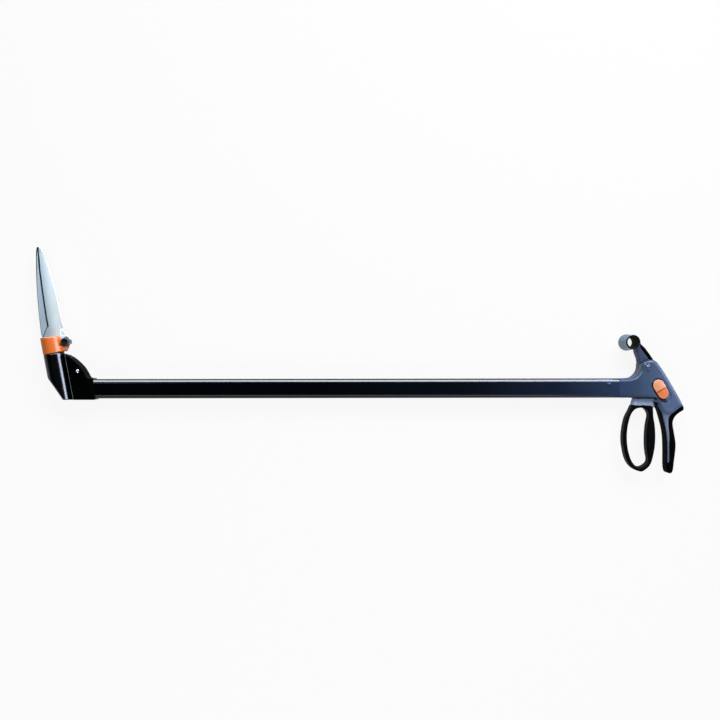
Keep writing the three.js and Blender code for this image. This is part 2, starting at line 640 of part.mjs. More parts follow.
function lockParts() {
  const low = housing.half - lock.trayDepth + seam;
  const half = lock.width / 2;
  const start = fromLock(lockPoint, half - lock.length / 2, 0);
  const end = fromLock(lockPoint, lock.length / 2 - half, 0);
  const farRise = housing.half + lock.endRise * 2 - lock.rise;
  const roof = shapeOf([
    [-lock.length, low], [lock.length, low], [lock.length, farRise],
    [0, housing.half + lock.rise], [-lock.length, farRise],
  ]);
  const roofGeometry = new THREE.ExtrudeGeometry(roof, { depth: lock.width * 2, bevelEnabled: false });
  roofGeometry.translate(0, 0, -lock.width);
  roofGeometry.rotateX(Math.PI / 2);
  roofGeometry.rotateZ(lock.tilt);
  roofGeometry.translate(lockPoint[0], lockPoint[1], 0);
  let slider = plate(capsule(start, end, half), low, housing.half + lock.rise).intersect(toSolid(roofGeometry));
  const plateHigh = housing.half - lock.plateDrop;
  const stemHalf = [lock.stemLength / 2, lock.stemWidth / 2];
  const stem = lockBlock(lockPoint, [-stemHalf[0], stemHalf[0]], [-stemHalf[1], stemHalf[1]]);
  slider = slider.add(plate(stem, plateHigh + seam, low + over));
  const link = capsule(lockPin, lockPoint, lock.pinRadius + over);
  let bolt = plate(link, plateHigh - lock.plateHeight, plateHigh);
  const foot = lockBlock(lockPoint, [-stemHalf[0] - over, stemHalf[0] + over], [-stemHalf[1] - over, stemHalf[1] + over]);
  bolt = bolt.add(plate(foot, plateHigh - lock.plateHeight, plateHigh));
  bolt = bolt.add(cylinderZ(lockPin, lock.pinRadius, -lever.webHalf, plateHigh - over, sides.pin));
  return [part("lock_slider", slider, "orange"), part("lock_bolt", bolt, "zinc")];
}

// Head, in the barrel's frame: y runs up the barrel's axis

const lugShares = [[0, 0.03], [1.1, 0.03], [1.42, 0.2], [1.42, 0.35], [0, 0.35]];
const collarScrewPlaces = [[-0.56, 0.37], [1.035, 0.12]].map(([u, v]) => [
  u * collar.radius, collar.low + v * (collar.high - collar.low),
]);

const bladeZ = [blade.gap, blade.gap + blade.thickness];

function bladeOutline(shares) {
  return shares.map(([u, v]) => [u * blade.width, bladePivot[1] + v * (v < 0 ? blade.heel : blade.length)]);
}

function blades() {
  const [low, high] = bladeZ;
  const boltHole = cylinderZ(bladePivot, boreFor(bolt.radius), -hand, hand, sides.pin);
  const slotEnd = (sign) => [sign * linkPin.tailSlot / 2, pinLevel];
  const slot = plate(capsule(slotEnd(-1), slotEnd(1), linkPin.radius + play), -hand, hand);
  const moving = plate(bladeOutline(movingBladeShares), low, high).subtract(boltHole).subtract(slot);
  const screwHole = cylinderZ(collarScrewPlaces[0], screw.radius + screw.play, -hand, hand);
  const fixed = plate(bladeOutline(fixedBladeShares), -high, -low).subtract(boltHole).subtract(screwHole);
  return [part("blade_moving", moving, "steel"), part("blade_fixed", fixed, "steel")];
}

function boltParts() {
  const washerLow = bladeZ[1] + seam;
  const washerHigh = washerLow + bolt.washer;
  const knobLow = washerHigh + seam;
  const rear = -collar.lugHalf - seam;
  const hole = cylinderZ(bladePivot, boreFor(bolt.radius), -hand, hand, sides.pin);
  const shank = cylinderZ(bladePivot, bolt.radius, rear - over, bolt.knobTop - over * 2, sides.pin);
  const head = cylinderZ(bladePivot, bolt.headRadius, rear - bolt.headHeight, rear, sides.small / 2);
  const knob = softPlate(circle(bladePivot, bolt.knobRadius, sides.pin), knobLow, bolt.knobTop, over);
  const deep = cylinderZ(bladePivot, boreFor(bolt.radius), -hand, bolt.knobTop - over, sides.pin);
  const washer = cylinderZ(bladePivot, bolt.knobRadius - over, washerLow, washerHigh, sides.pin);
  return [
    part("pivot_bolt", shank.add(head), "zinc"),
    part("pivot_nut", knob.subtract(deep), "black"),
    part("pivot_washer", washer.subtract(hole), "steel"),
  ];
}


function collarParts() {
  let drum = cylinderY(collar.radius, collar.low, collar.high, sides.round);
  const lugFront = lugShares.map(([u, v]) => [u * collar.radius, collar.low + v * (collar.high - collar.low)]);
  const lugRear = [...capsule([0, bladePivot[1]], bladePivot, collar.lugRadius)];
  drum = drum.add(plate(lugFront, -collar.lugHalf, collar.lugHalf)).add(plate(lugRear, -collar.lugHalf, 0));
  const bladeRoom = bladeZ[1] + seam;
  const roomLow = barrelNeck.flangeTop + play;
  drum = drum.subtract(box([-collar.cavity, hand], [roomLow, hand * 2], [-bladeRoom, bladeRoom]));
  const knobRoom = cylinderZ(bladePivot, bolt.knobRadius + play, bladeRoom, hand, sides.pin);
  const tongueWidth = plunger.tongueHalf + play;
  const tongueHigh = bladeRoom + plunger.tongueDepth + play;
  drum = drum.subtract(knobRoom);
  drum = drum.subtract(box([-tongueWidth, tongueWidth], [collar.low - over, hand * 2], [0, tongueHigh]));
  const bodyHigh = plunger.bodyTop + plungerStroke + over;
  drum = drum.subtract(cylinderY(barrel.bore, collar.low - over, bodyHigh, sides.pin));
  drum = drum.subtract(cylinderY(barrel.shoulder + play, collar.low - over, bodyHigh, sides.round));
  const flangeLow = barrelNeck.shoulderTop - play;
  drum = drum.subtract(cylinderY(barrel.flange + play, flangeLow, barrelNeck.flangeTop + play, sides.round));
  drum = drum.subtract(cylinderZ(bladePivot, bolt.radius + seam, -hand, hand, sides.pin));
  const seat = -collar.radius / 2;
  for (const place of collarScrewPlaces) {
    drum = drum.subtract(cylinderZ(place, screw.headRadius + screw.play, -hand, seat));
    drum = drum.subtract(cylinderZ(place, screw.radius + screw.play, -hand, -seat + play));
  }
  const [front, rear] = halves(drum);
  const screws = collarScrewPlaces.map((place, i) => {
    const head = cylinderZ(place, screw.headRadius, seat - screw.headHeight, seat - seam);
    return part(`collar_screw_${i + 1}`, head.add(cylinderZ(place, screw.radius, seat - over, -seat)), "zinc");
  });
  return [part("collar_front", front, "orange"), part("collar_rear", rear, "orange"), ...screws];
}

function plungerParts() {
  const grooveHalf = crank.nose + clevis.slotGap;
  const base = grooveLevel - grooveHalf - plunger.base;
  const top = pinLevel + linkPin.radius + over;
  let solid = cylinderY(plunger.radius, base, plunger.bodyTop, sides.round);
  const groove = cylinderY(plunger.radius + over, grooveLevel - grooveHalf, grooveLevel + grooveHalf, sides.pin);
  solid = solid.subtract(groove.subtract(cylinderY(plunger.neck, base, plunger.bodyTop, sides.small)));
  const face = bladeZ[1] + seam;
  const span = [-plunger.tongueHalf, plunger.tongueHalf];
  solid = solid.add(box(span, [plunger.bodyTop - over, top], [face, face + plunger.tongueDepth]));
  const pinPlace = [0, pinLevel];
  solid = solid.subtract(cylinderZ(pinPlace, linkPin.radius + seam / 2, face - over, hand, sides.pin));
  const pin = cylinderZ(pinPlace, linkPin.radius, bladeZ[0], face + plunger.tongueDepth, sides.pin);
  return [part("plunger", solid, "nylon"), part("link_pin", pin, "steel")];
}

function ribSolid([low, high]) {
  return box([0, barrelRib.reach], [low, high], [-barrelRib.half, barrelRib.half]);
}

const ribScrewPlaces = [barrelRib.high, barrelRib.low].map(([low, high]) => [
  (barrel.radius + barrelRib.reach) / 2 + over, (low + high) / 2,
]);

// The half-plane under the bracket's flat bottom, in the barrel's frame.
function groundCut() {
  const cut = box([-hand, hand], [bottomFace - hand, bottomFace], [-hand, hand]);
  return cut.rotate([0, 0, -THREE.MathUtils.radToDeg(lean)]);
}

function barrelParts() {
  const foot = -barrel.radius * 2;
  let solid = cylinderY(barrel.radius, foot, barrel.top, sides.fine);
  const [from, to] = scaled(chamferShares, barrel.radius);
  const chamfer = [from, to, [to[0], foot - over], [-hand, foot - over], [-hand, from[1]]];
  solid = solid.subtract(plate(chamfer, -hand, hand));
  solid = solid.add(ribSolid(barrelRib.high)).add(ribSolid(barrelRib.low));
  solid = solid.add(cylinderY(barrel.shoulder, barrel.top - over, barrelNeck.flangeTop - over, sides.round));
  solid = solid.add(cylinderY(barrel.flange, barrelNeck.shoulderTop, barrelNeck.flangeTop, sides.round));
  solid = solid.subtract(cylinderY(barrel.bore, barrel.floor, barrelNeck.flangeTop + over, sides.round));
  solid = solid.subtract(groundCut());
  const windowLow = grooveLevel - crank.armWidth - play;
  const windowHigh = grooveLevel + plungerStroke + crank.armWidth + play;
  const windowHalf = crank.forkHalf + play;
  solid = solid.subtract(box([0, hand], [windowLow, windowHigh], [-windowHalf, windowHalf]));
  for (const place of ribScrewPlaces) {
    solid = solid.subtract(cylinderZ(place, screw.radius + screw.play, -hand, hand));
  }
  const ringLow = barrel.top + (collar.low - barrel.top - swivelRing.height) / 2;
  const ring = cylinderY(swivelRing.radius, ringLow, ringLow + swivelRing.height, sides.round);
  const hole = cylinderY(barrel.shoulder + seam, ringLow - over, ringLow + over * 2, sides.round);
  return [part("head_barrel", solid, "dark"), part("swivel_ring", ring.subtract(hole), "black")];
}

// Bell crank and bracket, in the tool's frame

function bellCrank() {
  const noseAt = rotateHead([0, grooveLevel]);
  const flank = rotateHead([barrel.bore + over, grooveLevel + over]);
  const knee = rotateHead([barrel.radius + over, grooveLevel + (crank.pivot[1] - grooveLevel) / 2]);
  const half = crank.half;
  let solid = cylinderZ(crankPivot, crank.hub, -half, half, sides.pin);
  solid = solid.add(plate(capsule(crankPivot, [headPin[0], 0], crank.armWidth / 2), -half, half));
  solid = solid.add(plate(capsule(crankPivot, knee, crank.armWidth / 2), -half, half));
  solid = solid.add(plate(capsule(knee, noseAt, crank.prong), -crank.forkHalf, crank.forkHalf));
  solid = solid.add(cylinderZ(noseAt, crank.nose, -crank.forkHalf, crank.forkHalf, sides.pin));
  const slot = plate(capsule(flank, rotateHead([-barrel.radius, grooveLevel - over]), barrel.bore),
    -plunger.neck - play, plunger.neck + play);
  solid = solid.subtract(slot);
  solid = solid.subtract(cylinderZ(crankPivot, boreFor(crank.screw), -hand, hand, sides.pin));
  solid = solid.subtract(cylinderZ(headPin, clevis.pinRadius + play, -hand, hand, sides.pin));
  return part("bell_crank", solid, "zinc");
}

const bracketShares = [
  [0.16, 0.545], [0.19, 0.53], [0.3, 0.44], [0.385, 0.33], [0.435, 0.24], [0.465, 0.15], [0.49, 0.09],
];

function bracketParts() {
  const sleeveTop = shaft.height / 2 + bracket.sleeve;
  const start = tubeEnd + shaft.corner / 2;
  const curve = bracketShares.map(([u, v]) => rotateHead([u * hand, v * hand]));
  const outline = [
    ...curve, [start, sleeveTop], [start + shaft.corner / 2, sleeveTop],
    [start + shaft.corner, bottomFace], [headOrigin[0] + barrel.radius / 2, bottomFace],
  ];
  let solid = softPlate(outline, -bracket.half, bracket.half, bracket.edge / 2);
  const gap = seam * 2;
  const tubeRoom = roundedRect(shaft.width + gap, shaft.height + gap, shaft.corner + seam);
  solid = solid.subtract(alongX(tubeRoom, tubeEnd - seam, 0));
  solid = solid.add(spigotSolid(tubeEnd - seam - over, tubeEnd + spigot.length));
  solid = solid.subtract(rodChannel(headOrigin[0], 0));
  const room = crank.half + clevis.slotGap + clevis.cheek + play;
  const left = headOrigin[0] + barrel.radius / 2;
  const right = headPin[0] + clevis.reach + clevis.root + play;
  const pocketHalf = clevis.halfHeight + play;
  const pocket = [
    [left, -pocketHalf],
    [right, -pocketHalf],
    [right, pocketHalf],
    [tubeEnd - over * 3, pocketHalf],
    [crankPivot[0] + crank.hub, crankPivot[1] - over],
    [crankPivot[0], crankPivot[1] + crank.hub],
    rotateHead([barrel.radius, grooveLevel + plungerStroke + crank.armWidth]),
  ];
  const rim = circle(crankPivot, crank.hub + play, sides.pin);
  solid = solid.subtract(plate(pocket, -room, room));
  solid = solid.subtract(plate(rim, -room, room));
  solid = solid.subtract(cylinderZ(crankPivot, crank.screw + seam, -hand, hand, sides.pin));
  const barrelCut = cylinderY(barrel.radius + seam, -hand, hand, sides.fine);
  const ribs = [barrelRib.high, barrelRib.low].map(([low, high]) => box(
    [0, barrelRib.reach + seam], [low - seam, high + seam], [-barrelRib.half - seam, barrelRib.half + seam]));
  const turn = THREE.MathUtils.radToDeg(lean);
  const ledgeLevel = room + bracket.ledgeWall;
  const ledges = [[ledgeLevel, hand], [-hand, -ledgeLevel]].map((span) => box(
    [0, bracket.ledgeReach], [-hand, hand], span));
  for (const cut of [barrelCut, ...ribs, ...ledges]) {
    solid = solid.subtract(cut.rotate([0, 0, turn]).translate([...headOrigin, 0]));
  }
  const leftOver = box([-hand, 0], [-hand, hand], [-hand, hand]);
  solid = solid.subtract(leftOver.rotate([0, 0, turn]).translate([...headOrigin, 0]));
  const seat = -bracket.half + screw.headHeight + play;
  const places = ribScrewPlaces.map(rotateHead);
  for (const place of places) {
    solid = solid.subtract(cylinderZ(place, screw.headRadius + screw.play, -hand, seat));
    solid = solid.subtract(cylinderZ(place, screw.radius + screw.play, -hand, bracket.half - bracket.wall));
  }
  const [front, rear] = halves(solid);
  const screws = places.map((place, i) => {
    const head = cylinderZ(place, screw.headRadius, -bracket.half + play, seat - seam);
    const shank = cylinderZ(place, screw.radius, -bracket.half + over, bracket.half - bracket.wall - play);
    return part(`bracket_screw_${i + 1}`, head.add(shank), "zinc");
  });
  const headLow = bracket.half + seam;
  const crankHead = cylinderZ(crankPivot, crankScrew.headRadius, headLow, headLow + crankScrew.headHeight, sides.pin);
  const crankShank = cylinderZ(crankPivot, crank.screw, -bracket.half, headLow + over, sides.pin);
  return [
    part("bracket_front", front, "dark"), part("bracket_rear", rear, "dark"), ...screws,
    part("crank_screw", crankHead.add(crankShank), "steel"),
  ];
}

// Assembly

const group = new THREE.Group();
const tool = new THREE.Group();
tool.position.z = housing.half;
group.add(tool);

const head = new THREE.Group();
head.position.set(headOrigin[0], headOrigin[1], 0);
head.rotation.z = lean;
head.add(...barrelParts(), ...plungerParts(), ...collarParts(), ...blades(), ...boltParts());
tool.add(head, ...bracketParts(), bellCrank());
tool.add(shaftTube(), ...shaftScrews(), pullRod(), returnSpring(), rodCollarPart(), ...rodGuides());
tool.add(rodClevis("rod_clevis_head", headPin, -1, crank.half), clevisPin("clevis_pin_head", headPin, crank.half));
tool.add(rodClevis("rod_clevis_handle", handlePin, 1, lever.webHalf));
tool.add(clevisPin("clevis_pin_handle", handlePin, lever.webHalf));
tool.add(...housingShells(), ...housingScrews(), gripSoft(), ...leverPinParts(), ...hangerParts());
tool.add(...leverParts(), ...lockParts());

export default group;
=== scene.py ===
import bpy
import math
import numpy as np
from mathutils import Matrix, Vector


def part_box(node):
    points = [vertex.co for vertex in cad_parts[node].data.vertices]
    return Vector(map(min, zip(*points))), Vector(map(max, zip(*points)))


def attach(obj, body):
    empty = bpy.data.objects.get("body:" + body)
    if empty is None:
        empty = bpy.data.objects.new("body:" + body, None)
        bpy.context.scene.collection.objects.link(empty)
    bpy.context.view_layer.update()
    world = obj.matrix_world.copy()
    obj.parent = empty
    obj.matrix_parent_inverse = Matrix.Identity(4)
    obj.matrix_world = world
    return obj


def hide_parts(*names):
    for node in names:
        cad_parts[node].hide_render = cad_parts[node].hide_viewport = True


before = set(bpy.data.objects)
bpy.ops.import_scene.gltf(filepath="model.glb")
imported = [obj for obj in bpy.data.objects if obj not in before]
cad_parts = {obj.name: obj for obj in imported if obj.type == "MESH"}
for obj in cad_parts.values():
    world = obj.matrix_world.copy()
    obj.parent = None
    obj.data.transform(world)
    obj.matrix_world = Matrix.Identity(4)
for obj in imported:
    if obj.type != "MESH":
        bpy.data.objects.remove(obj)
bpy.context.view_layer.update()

# Shapes are worked out in millimetres. z counts from the tool's mid-plane, which lies MID above the floor.
MM = 0.001


def node_box(name):
    """The lowest and the highest corner of a CAD node."""
    return [[round(float(c) / MM, 3) for c in corner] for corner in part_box(name)]


def middle(name):
    """The middle of a CAD node in plan."""
    low, high = node_box(name)
    return tuple(round((a + b) / 2, 3) for a, b in zip(low[:2], high[:2]))


tube_low, tube_high = node_box("shaft_tube")
TUBE_END, JOINT_X = tube_low[0], tube_high[0]
TUBE_HEIGHT, TUBE_WIDTH = tube_high[1] - tube_low[1], tube_high[2] - tube_low[2]
MID = (tube_low[2] + tube_high[2]) / 2
HOUSING_HALF = 20
SEAM = 0.14  # from the mid-plane to the edge of a split shell

PIVOT = middle("pin_cap_front")
PIN_BORE = 2.7
LEVER_BORE = 2.5
CAP_RADIUS = 6
LEVER_SWING = 13  # degrees
STROKE = 2 * PIVOT[1] * math.tan(math.radians(LEVER_SWING / 2))
EYE = middle("hanger_eye")
EYE_ROOM = 12.25
TONGUE_TOP = (-2, 46)

LOCK = middle("lock_slider")
LOCK_PIN = (11.0, 5.2)
LOCK_TILT = math.radians(-60)
LOCK_TRAVEL = 6
THUMB_HALF, THUMB_RADIUS = 16.5, 9
STEM_HALF_LENGTH, STEM_HALF_WIDTH = 4.5, 2.8

SCREW_HEAD, SCREW_SHANK = 2.9, 1.4  # radii of the small screws put in from behind
HOUSING_SCREWS = [(middle(name), node_box(name)[0][2] - MID) for name in (
    "housing_screw_1", "housing_screw_2", "housing_screw_3", "housing_screw_4")]
SHAFT_SCREW = middle("shaft_screw_front")


def turned(x, y, angle):
    """A point turned round the origin."""
    c, s = math.cos(angle), math.sin(angle)
    return x * c - y * s, x * s + y * c


def lock_point(along, across):
    """A place on the lock's path."""
    x, y = turned(along, across, LOCK_TILT)
    return LOCK[0] + x, LOCK[1] + y


def lock_axes(x, y):
    """How far a place lies along and across the lock's path."""
    return turned(x - LOCK[0], y - LOCK[1], -LOCK_TILT)


# The head leans. In it, t counts from the barrel's axis towards the shaft and s up along that axis.
LEAN = math.radians(10.5)
HEAD_X = -935.2  # where the barrel's axis meets the shaft's
BARREL_RADIUS = 16.4
BOLT = (23.5, 72)
RIBS = ((40, 50), (-20.5, -11.5))
RIB_SCREWS = ((22.7, 45), (22.7, -16))
COLLAR_SCREWS = [((-9.46, 67.1), -10.6), ((17.5, 60.6), -10.6)]
CRANK_PLACE = (36.2, 22)
LEDGE = 20.2
LEDGE_LEVEL = 8.6


def head_point(t, s):
    x, y = turned(t, s, LEAN)
    return HEAD_X + x, y


CRANK = head_point(*CRANK_PLACE)
CRANK_HALF = math.atan(STROKE / 2 / CRANK[1])
PLUNGE = 2 * CRANK_PLACE[0] * math.tan(CRANK_HALF)
GROOVE = CRANK_PLACE[1] - PLUNGE / 2
PIN_LEVEL = BOLT[1] - PLUNGE / 2


# Distance fields

class Grid:
    """A box of sample points with a fixed step."""

    def __init__(self, low, high, step):
        pad = 2.5 * step
        self.step = step
        self.axes = [np.arange(a - pad, b + pad + step, step, dtype=np.float32) for a, b in zip(low, high)]
        self.low = np.array([a[0] for a in self.axes], np.float32)
        self.x = self.axes[0][:, None, None]
        self.y = self.axes[1][None, :, None]
        self.z = self.axes[2][None, None, :]

    def polygon(self, points):
        """Distance from a closed outline in plan."""
        px, py = np.meshgrid(self.axes[0], self.axes[1], indexing="ij")
        return polygon_distance(px, py, points)[:, :, None]

    def line(self, points):
        """Distance from an open line in plan."""
        px, py = np.meshgrid(self.axes[0], self.axes[1], indexing="ij")
        return line_distance(px, py, points)[:, :, None]

    def section(self, points):
        """Distance from a closed outline drawn in y and z."""
        py, pz = np.meshgrid(self.axes[1], self.axes[2], indexing="ij")
        return polygon_distance(py, pz, points)[None, :, :]

    def round(self, centre):
        """Distance from an upright axis."""
        return np.hypot(self.x - centre[0], self.y - centre[1])


def grid_round(centre, reach, low, high, step):
    """A grid round an upright axis."""
    x, y = centre
    return Grid((x - reach, y - reach, low), (x + reach, y + reach, high), step)


def segment_distance(px, py, a, b):
    ex, ey = b[0] - a[0], b[1] - a[1]
    wx, wy = px - a[0], py - a[1]
    t = np.clip((wx * ex + wy * ey) / max(ex * ex + ey * ey, 1e-9), 0, 1)
    return np.hypot(wx - ex * t, wy - ey * t)


def line_distance(px, py, points):
    points = np.asarray(points, px.dtype)
    best = np.full(px.shape, np.inf, px.dtype)
    for a, b in zip(points[:-1], points[1:]):
        np.minimum(best, segment_distance(px, py, a, b), out=best)
    return best


def polygon_distance(px, py, points):
    """Distance from a closed outline, negative inside it."""
    points = np.asarray(points, px.dtype)
    closed = np.vstack([points, points[:1]])
    inside = np.zeros(px.shape, bool)
    for a, b in zip(closed[:-1], closed[1:]):
        if a[1] != b[1]:
            crosses = (a[1] > py) != (b[1] > py)
            inside ^= crosses & (px < a[0] + (py - a[1]) / (b[1] - a[1]) * (b[0] - a[0]))
    distance = line_distance(px, py, closed)
    return np.where(inside, -distance, distance)


def slab(z, low, high):
    """Distance from the layer between two levels."""
    return np.abs(z - (low + high) / 2) - (high - low) / 2


def meet(a, b, edge):
    """What two solids share, with a round edge where their faces meet."""
    a, b = a + edge, b + edge
    return np.minimum(np.maximum(a, b), 0) + np.hypot(np.maximum(a, 0), np.maximum(b, 0)) - edge


def prism(outline, z, low, high, edge=0.0):
    """An outline between two levels, with round edges."""
    if edge == 0:
        return np.maximum(outline, slab(z, low, high))
    return meet(outline, slab(z, low, high), edge)


def join(a, b, blend=0.0):
    """Two solids together, with a fillet where they meet."""
    if blend == 0:
        return np.minimum(a, b)
    h = np.maximum(blend - np.abs(a - b), 0) / blend
    return np.minimum(a, b) - h * h * blend * 0.25


def cut(a, b, blend=0.0):
    """The first solid without the second."""
    return -join(-a, b, blend)


def front_half(g, solid):
    return np.maximum(solid, SEAM - g.z)


def rear_half(g, solid):
    return np.maximum(solid, g.z + SEAM)


HALVES = (("front", front_half), ("rear", rear_half))


# Outlines

def between(t, start, a, end, b):
    """The point at t on the way from a at start to b at end."""
    return (end - t) / (end - start) * a + (t - start) / (end - start) * b


def smoothed(points, count):
    """A closed round curve through the points, as evenly spaced points."""
    p = np.asarray(points, float)
    least_gap, fine = 1e-6, 0.8
    curve = []
    for i in range(len(p)):
        p0, p1, p2, p3 = (p[(i + k) % len(p)] for k in (-1, 0, 1, 2))
        gaps = np.linalg.norm(np.diff([p0, p1, p2, p3], axis=0), axis=1)
        t0 = 0.0
        t1, t2, t3 = np.cumsum(np.sqrt(np.maximum(gaps, least_gap)))
        for t in np.linspace(t1, t2, max(3, int(gaps[1] / fine)), endpoint=False):
            a1, a2, a3 = between(t, t0, p0, t1, p1), between(t, t1, p1, t2, p2), between(t, t2, p2, t3, p3)
            b1, b2 = between(t, t0, a1, t2, a2), between(t, t1, a2, t3, a3)
            curve.append(between(t, t1, b1, t2, b2))
    curve = np.array(curve)
    closed = np.vstack([curve, curve[:1]])
    lengths = np.concatenate([[0], np.cumsum(np.linalg.norm(np.diff(closed, axis=0), axis=1))])
    at = np.linspace(0, lengths[-1], count, endpoint=False)
    return np.stack([np.interp(at, lengths, closed[:, k]) for k in (0, 1)], 1)


def soft_corners(points, radius):
    """The polygon with each corner cut by a small arc."""
    p = np.asarray(points, float)
    out = []
    for i in range(len(p)):
        a, b, c = p[i - 1], p[i], p[(i + 1) % len(p)]
        to_a, to_c = np.linalg.norm(a - b), np.linalg.norm(c - b)
        r = min(radius, to_a * 0.48, to_c * 0.48)
        start, end = b + (a - b) / to_a * r, b + (c - b) / to_c * r
        for t in np.linspace(0, 1, 4):
            out.append((1 - t) ** 2 * start + 2 * t * (1 - t) * b + t ** 2 * end)
    return np.array(out)


def capsule(a, b, radius):
    """A straight band with round ends."""
    heading = math.atan2(b[1] - a[1], b[0] - a[0])
    steps = 12
    out = []
    for (x, y), start in ((b, heading - math.pi / 2), (a, heading + math.pi / 2)):
        for i in range(steps + 1):
            angle = start + i / steps * math.pi
            out.append((x + radius * math.cos(angle), y + radius * math.sin(angle)))
    return out


def rounded_rect(width, height, corner, steps):
    out = []
    for sx, sy, start in ((1, 1, 0), (-1, 1, 1), (-1, -1, 2), (1, -1, 3)):
        for i in range(steps + 1):
            angle = (start + i / steps) * math.pi / 2
            out.append((sx * (width / 2 - corner) + corner * math.cos(angle),
                        sy * (height / 2 - corner) + corner * math.sin(angle)))
    return out


def lock_block(g, centre, along, across):
    """A rectangle that lies along the lock's path, from its ends along and across that path."""
    (a0, a1), (c0, c1) = along, across
    corners = [turned(a, c, LOCK_TILT) for a, c in ((a0, c0), (a1, c0), (a1, c1), (a0, c1))]
    return g.polygon([(centre[0] + x, centre[1] + y) for x, y in corners])


# Meshes

def sample(field, at):
    """Field values and slopes at points given in cells."""
    i = np.clip(np.floor(at).astype(int), 0, np.array(field.shape) - 2)
    f = at - i
    c = [[[field[i[:, 0] + a, i[:, 1] + b, i[:, 2] + d] for d in (0, 1)] for b in (0, 1)] for a in (0, 1)]
    u, v, w = f[:, 0], f[:, 1], f[:, 2]

    def mix(a, b, t):
        return a + (b - a) * t

    x0 = [[mix(c[0][b][d], c[1][b][d], u) for d in (0, 1)] for b in (0, 1)]
    y0 = [mix(x0[0][d], x0[1][d], v) for d in (0, 1)]
    value = mix(y0[0], y0[1], w)
    gx = mix(mix(c[1][0][0] - c[0][0][0], c[1][1][0] - c[0][1][0], v),
             mix(c[1][0][1] - c[0][0][1], c[1][1][1] - c[0][1][1], v), w)
    gy = mix(x0[1][0] - x0[0][0], x0[1][1] - x0[0][1], w)
    gz = y0[1] - y0[0]
    return value, np.stack([gx, gy, gz], 1)


def first_places(f, where):
    """The mean of the field's crossings on the edges of each cell."""
    total = np.zeros((len(where), 3))
    hits = np.zeros(len(where))
    for axis in range(3):
        others = [k for k in range(3) if k != axis]
        for offset in ((0, 0), (0, 1), (1, 0), (1, 1)):
            base = np.zeros(3, int)
            base[others] = offset
            tip = base.copy()
            tip[axis] = 1
            a, b = where + base, where + tip
            fa, fb = f[tuple(a.T)], f[tuple(b.T)]
            hit = (fa < 0) != (fb < 0)
            t = np.where(hit, fa / np.where(hit, fa - fb, 1), 0)
            total += np.where(hit[:, None], a + (b - a) * t[:, None], 0)
            hits += hit
    return total / hits[:, None]


def settled(f, verts, where):
    """The points moved on to the field's zero surface, each kept in its cell."""
    reach, rim = 0.4, 0.02
    for _ in range(3):
        value, slope = sample(f, verts)
        size = np.maximum((slope ** 2).sum(1), 1e-6)
        move = -slope * (value / size)[:, None]
        verts = np.clip(verts + np.clip(move, -reach, reach), where + rim, where + 1 - rim)
    return verts


def surface(grid, field):
    """Vertices and quads of the field's zero surface, with one vertex in each cell that it passes."""
    f = np.ascontiguousarray(np.broadcast_to(field, [len(a) for a in grid.axes]), np.float32).copy()
    tiny = 1e-5
    f[np.abs(f) < tiny] = tiny
    inside = f < 0
    cells = np.zeros([n - 1 for n in f.shape], np.uint8)
    for a in (0, 1):
        for b in (0, 1):
            for c in (0, 1):
                cells += inside[a:f.shape[0] - 1 + a, b:f.shape[1] - 1 + b, c:f.shape[2] - 1 + c]
    active = (cells > 0) & (cells < 8)
    index = np.full(cells.shape, -1, np.int64)
    where = np.argwhere(active)
    index[active] = np.arange(len(where))
    verts = settled(f, first_places(f, where), where)
    quads = []
    for axis, (b, c) in enumerate(((1, 2), (2, 0), (0, 1))):
        lower, upper = [slice(None)] * 3, [slice(None)] * 3
        lower[axis], upper[axis] = slice(0, -1), slice(1, None)
        first, second = inside[tuple(lower)], inside[tuple(upper)]
        for sign, hit in ((1, first & ~second), (-1, ~first & second)):
            at = np.argwhere(hit)
            at = at[(at[:, b] > 0) & (at[:, b] < f.shape[b] - 1)]
            at = at[(at[:, c] > 0) & (at[:, c] < f.shape[c] - 1)]
            ring = []
            for db, dc in ((-1, -1), (0, -1), (0, 0), (-1, 0)):
                cell = at.copy()
                cell[:, b] += db
                cell[:, c] += dc
                ring.append(index[tuple(cell.T)])
            quads.append(np.stack(ring, 1)[:, ::sign])
    return grid.low + verts * grid.step, np.concatenate(quads)


def to_tool(v):
    return np.stack([v[:, 0], v[:, 1], v[:, 2] + MID], 1) * MM


def head_to_tool(v):
    x, y = head_point(v[:, 0], v[:, 1])
    return to_tool(np.stack([x, y, v[:, 2]], 1))


def make(name, verts, faces, materials, smooth=True, paint=None):
    """A mesh object from points in metres. paint gives each face's material number."""
    mesh = bpy.data.meshes.new(name)
    mesh.from_pydata(np.asarray(verts).tolist(), [], np.asarray(faces).tolist())
    for material in materials:
        mesh.materials.append(material)
    if paint is not None:
        mesh.polygons.foreach_set("material_index", np.asarray(paint, np.int32))
    mesh.polygons.foreach_set("use_smooth", np.full(len(mesh.polygons), smooth))
    mesh.update()
    obj = bpy.data.objects.new(name, mesh)
    bpy.context.scene.collection.objects.link(obj)
    return obj


def piece(name, body, node, materials, grid, field, place=to_tool, paint=None):
    """A piece that stands for a CAD node. paint gives material numbers from the faces' centres."""
    verts, quads = surface(grid, field)
    numbers = paint(verts[quads].mean(1)) if paint else None
    obj = make(name, place(verts), quads, materials, paint=numbers)
    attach(obj, body)
    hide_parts(node)


# Materials

def srgb(text):
    out = []
    for k in (1, 3, 5):
        c = int(text[k:k + 2], 16) / 255
        out.append(c / 12.92 if c <= 0.04045 else ((c + 0.055) / 1.055) ** 2.4)
    return (*out, 1.0)


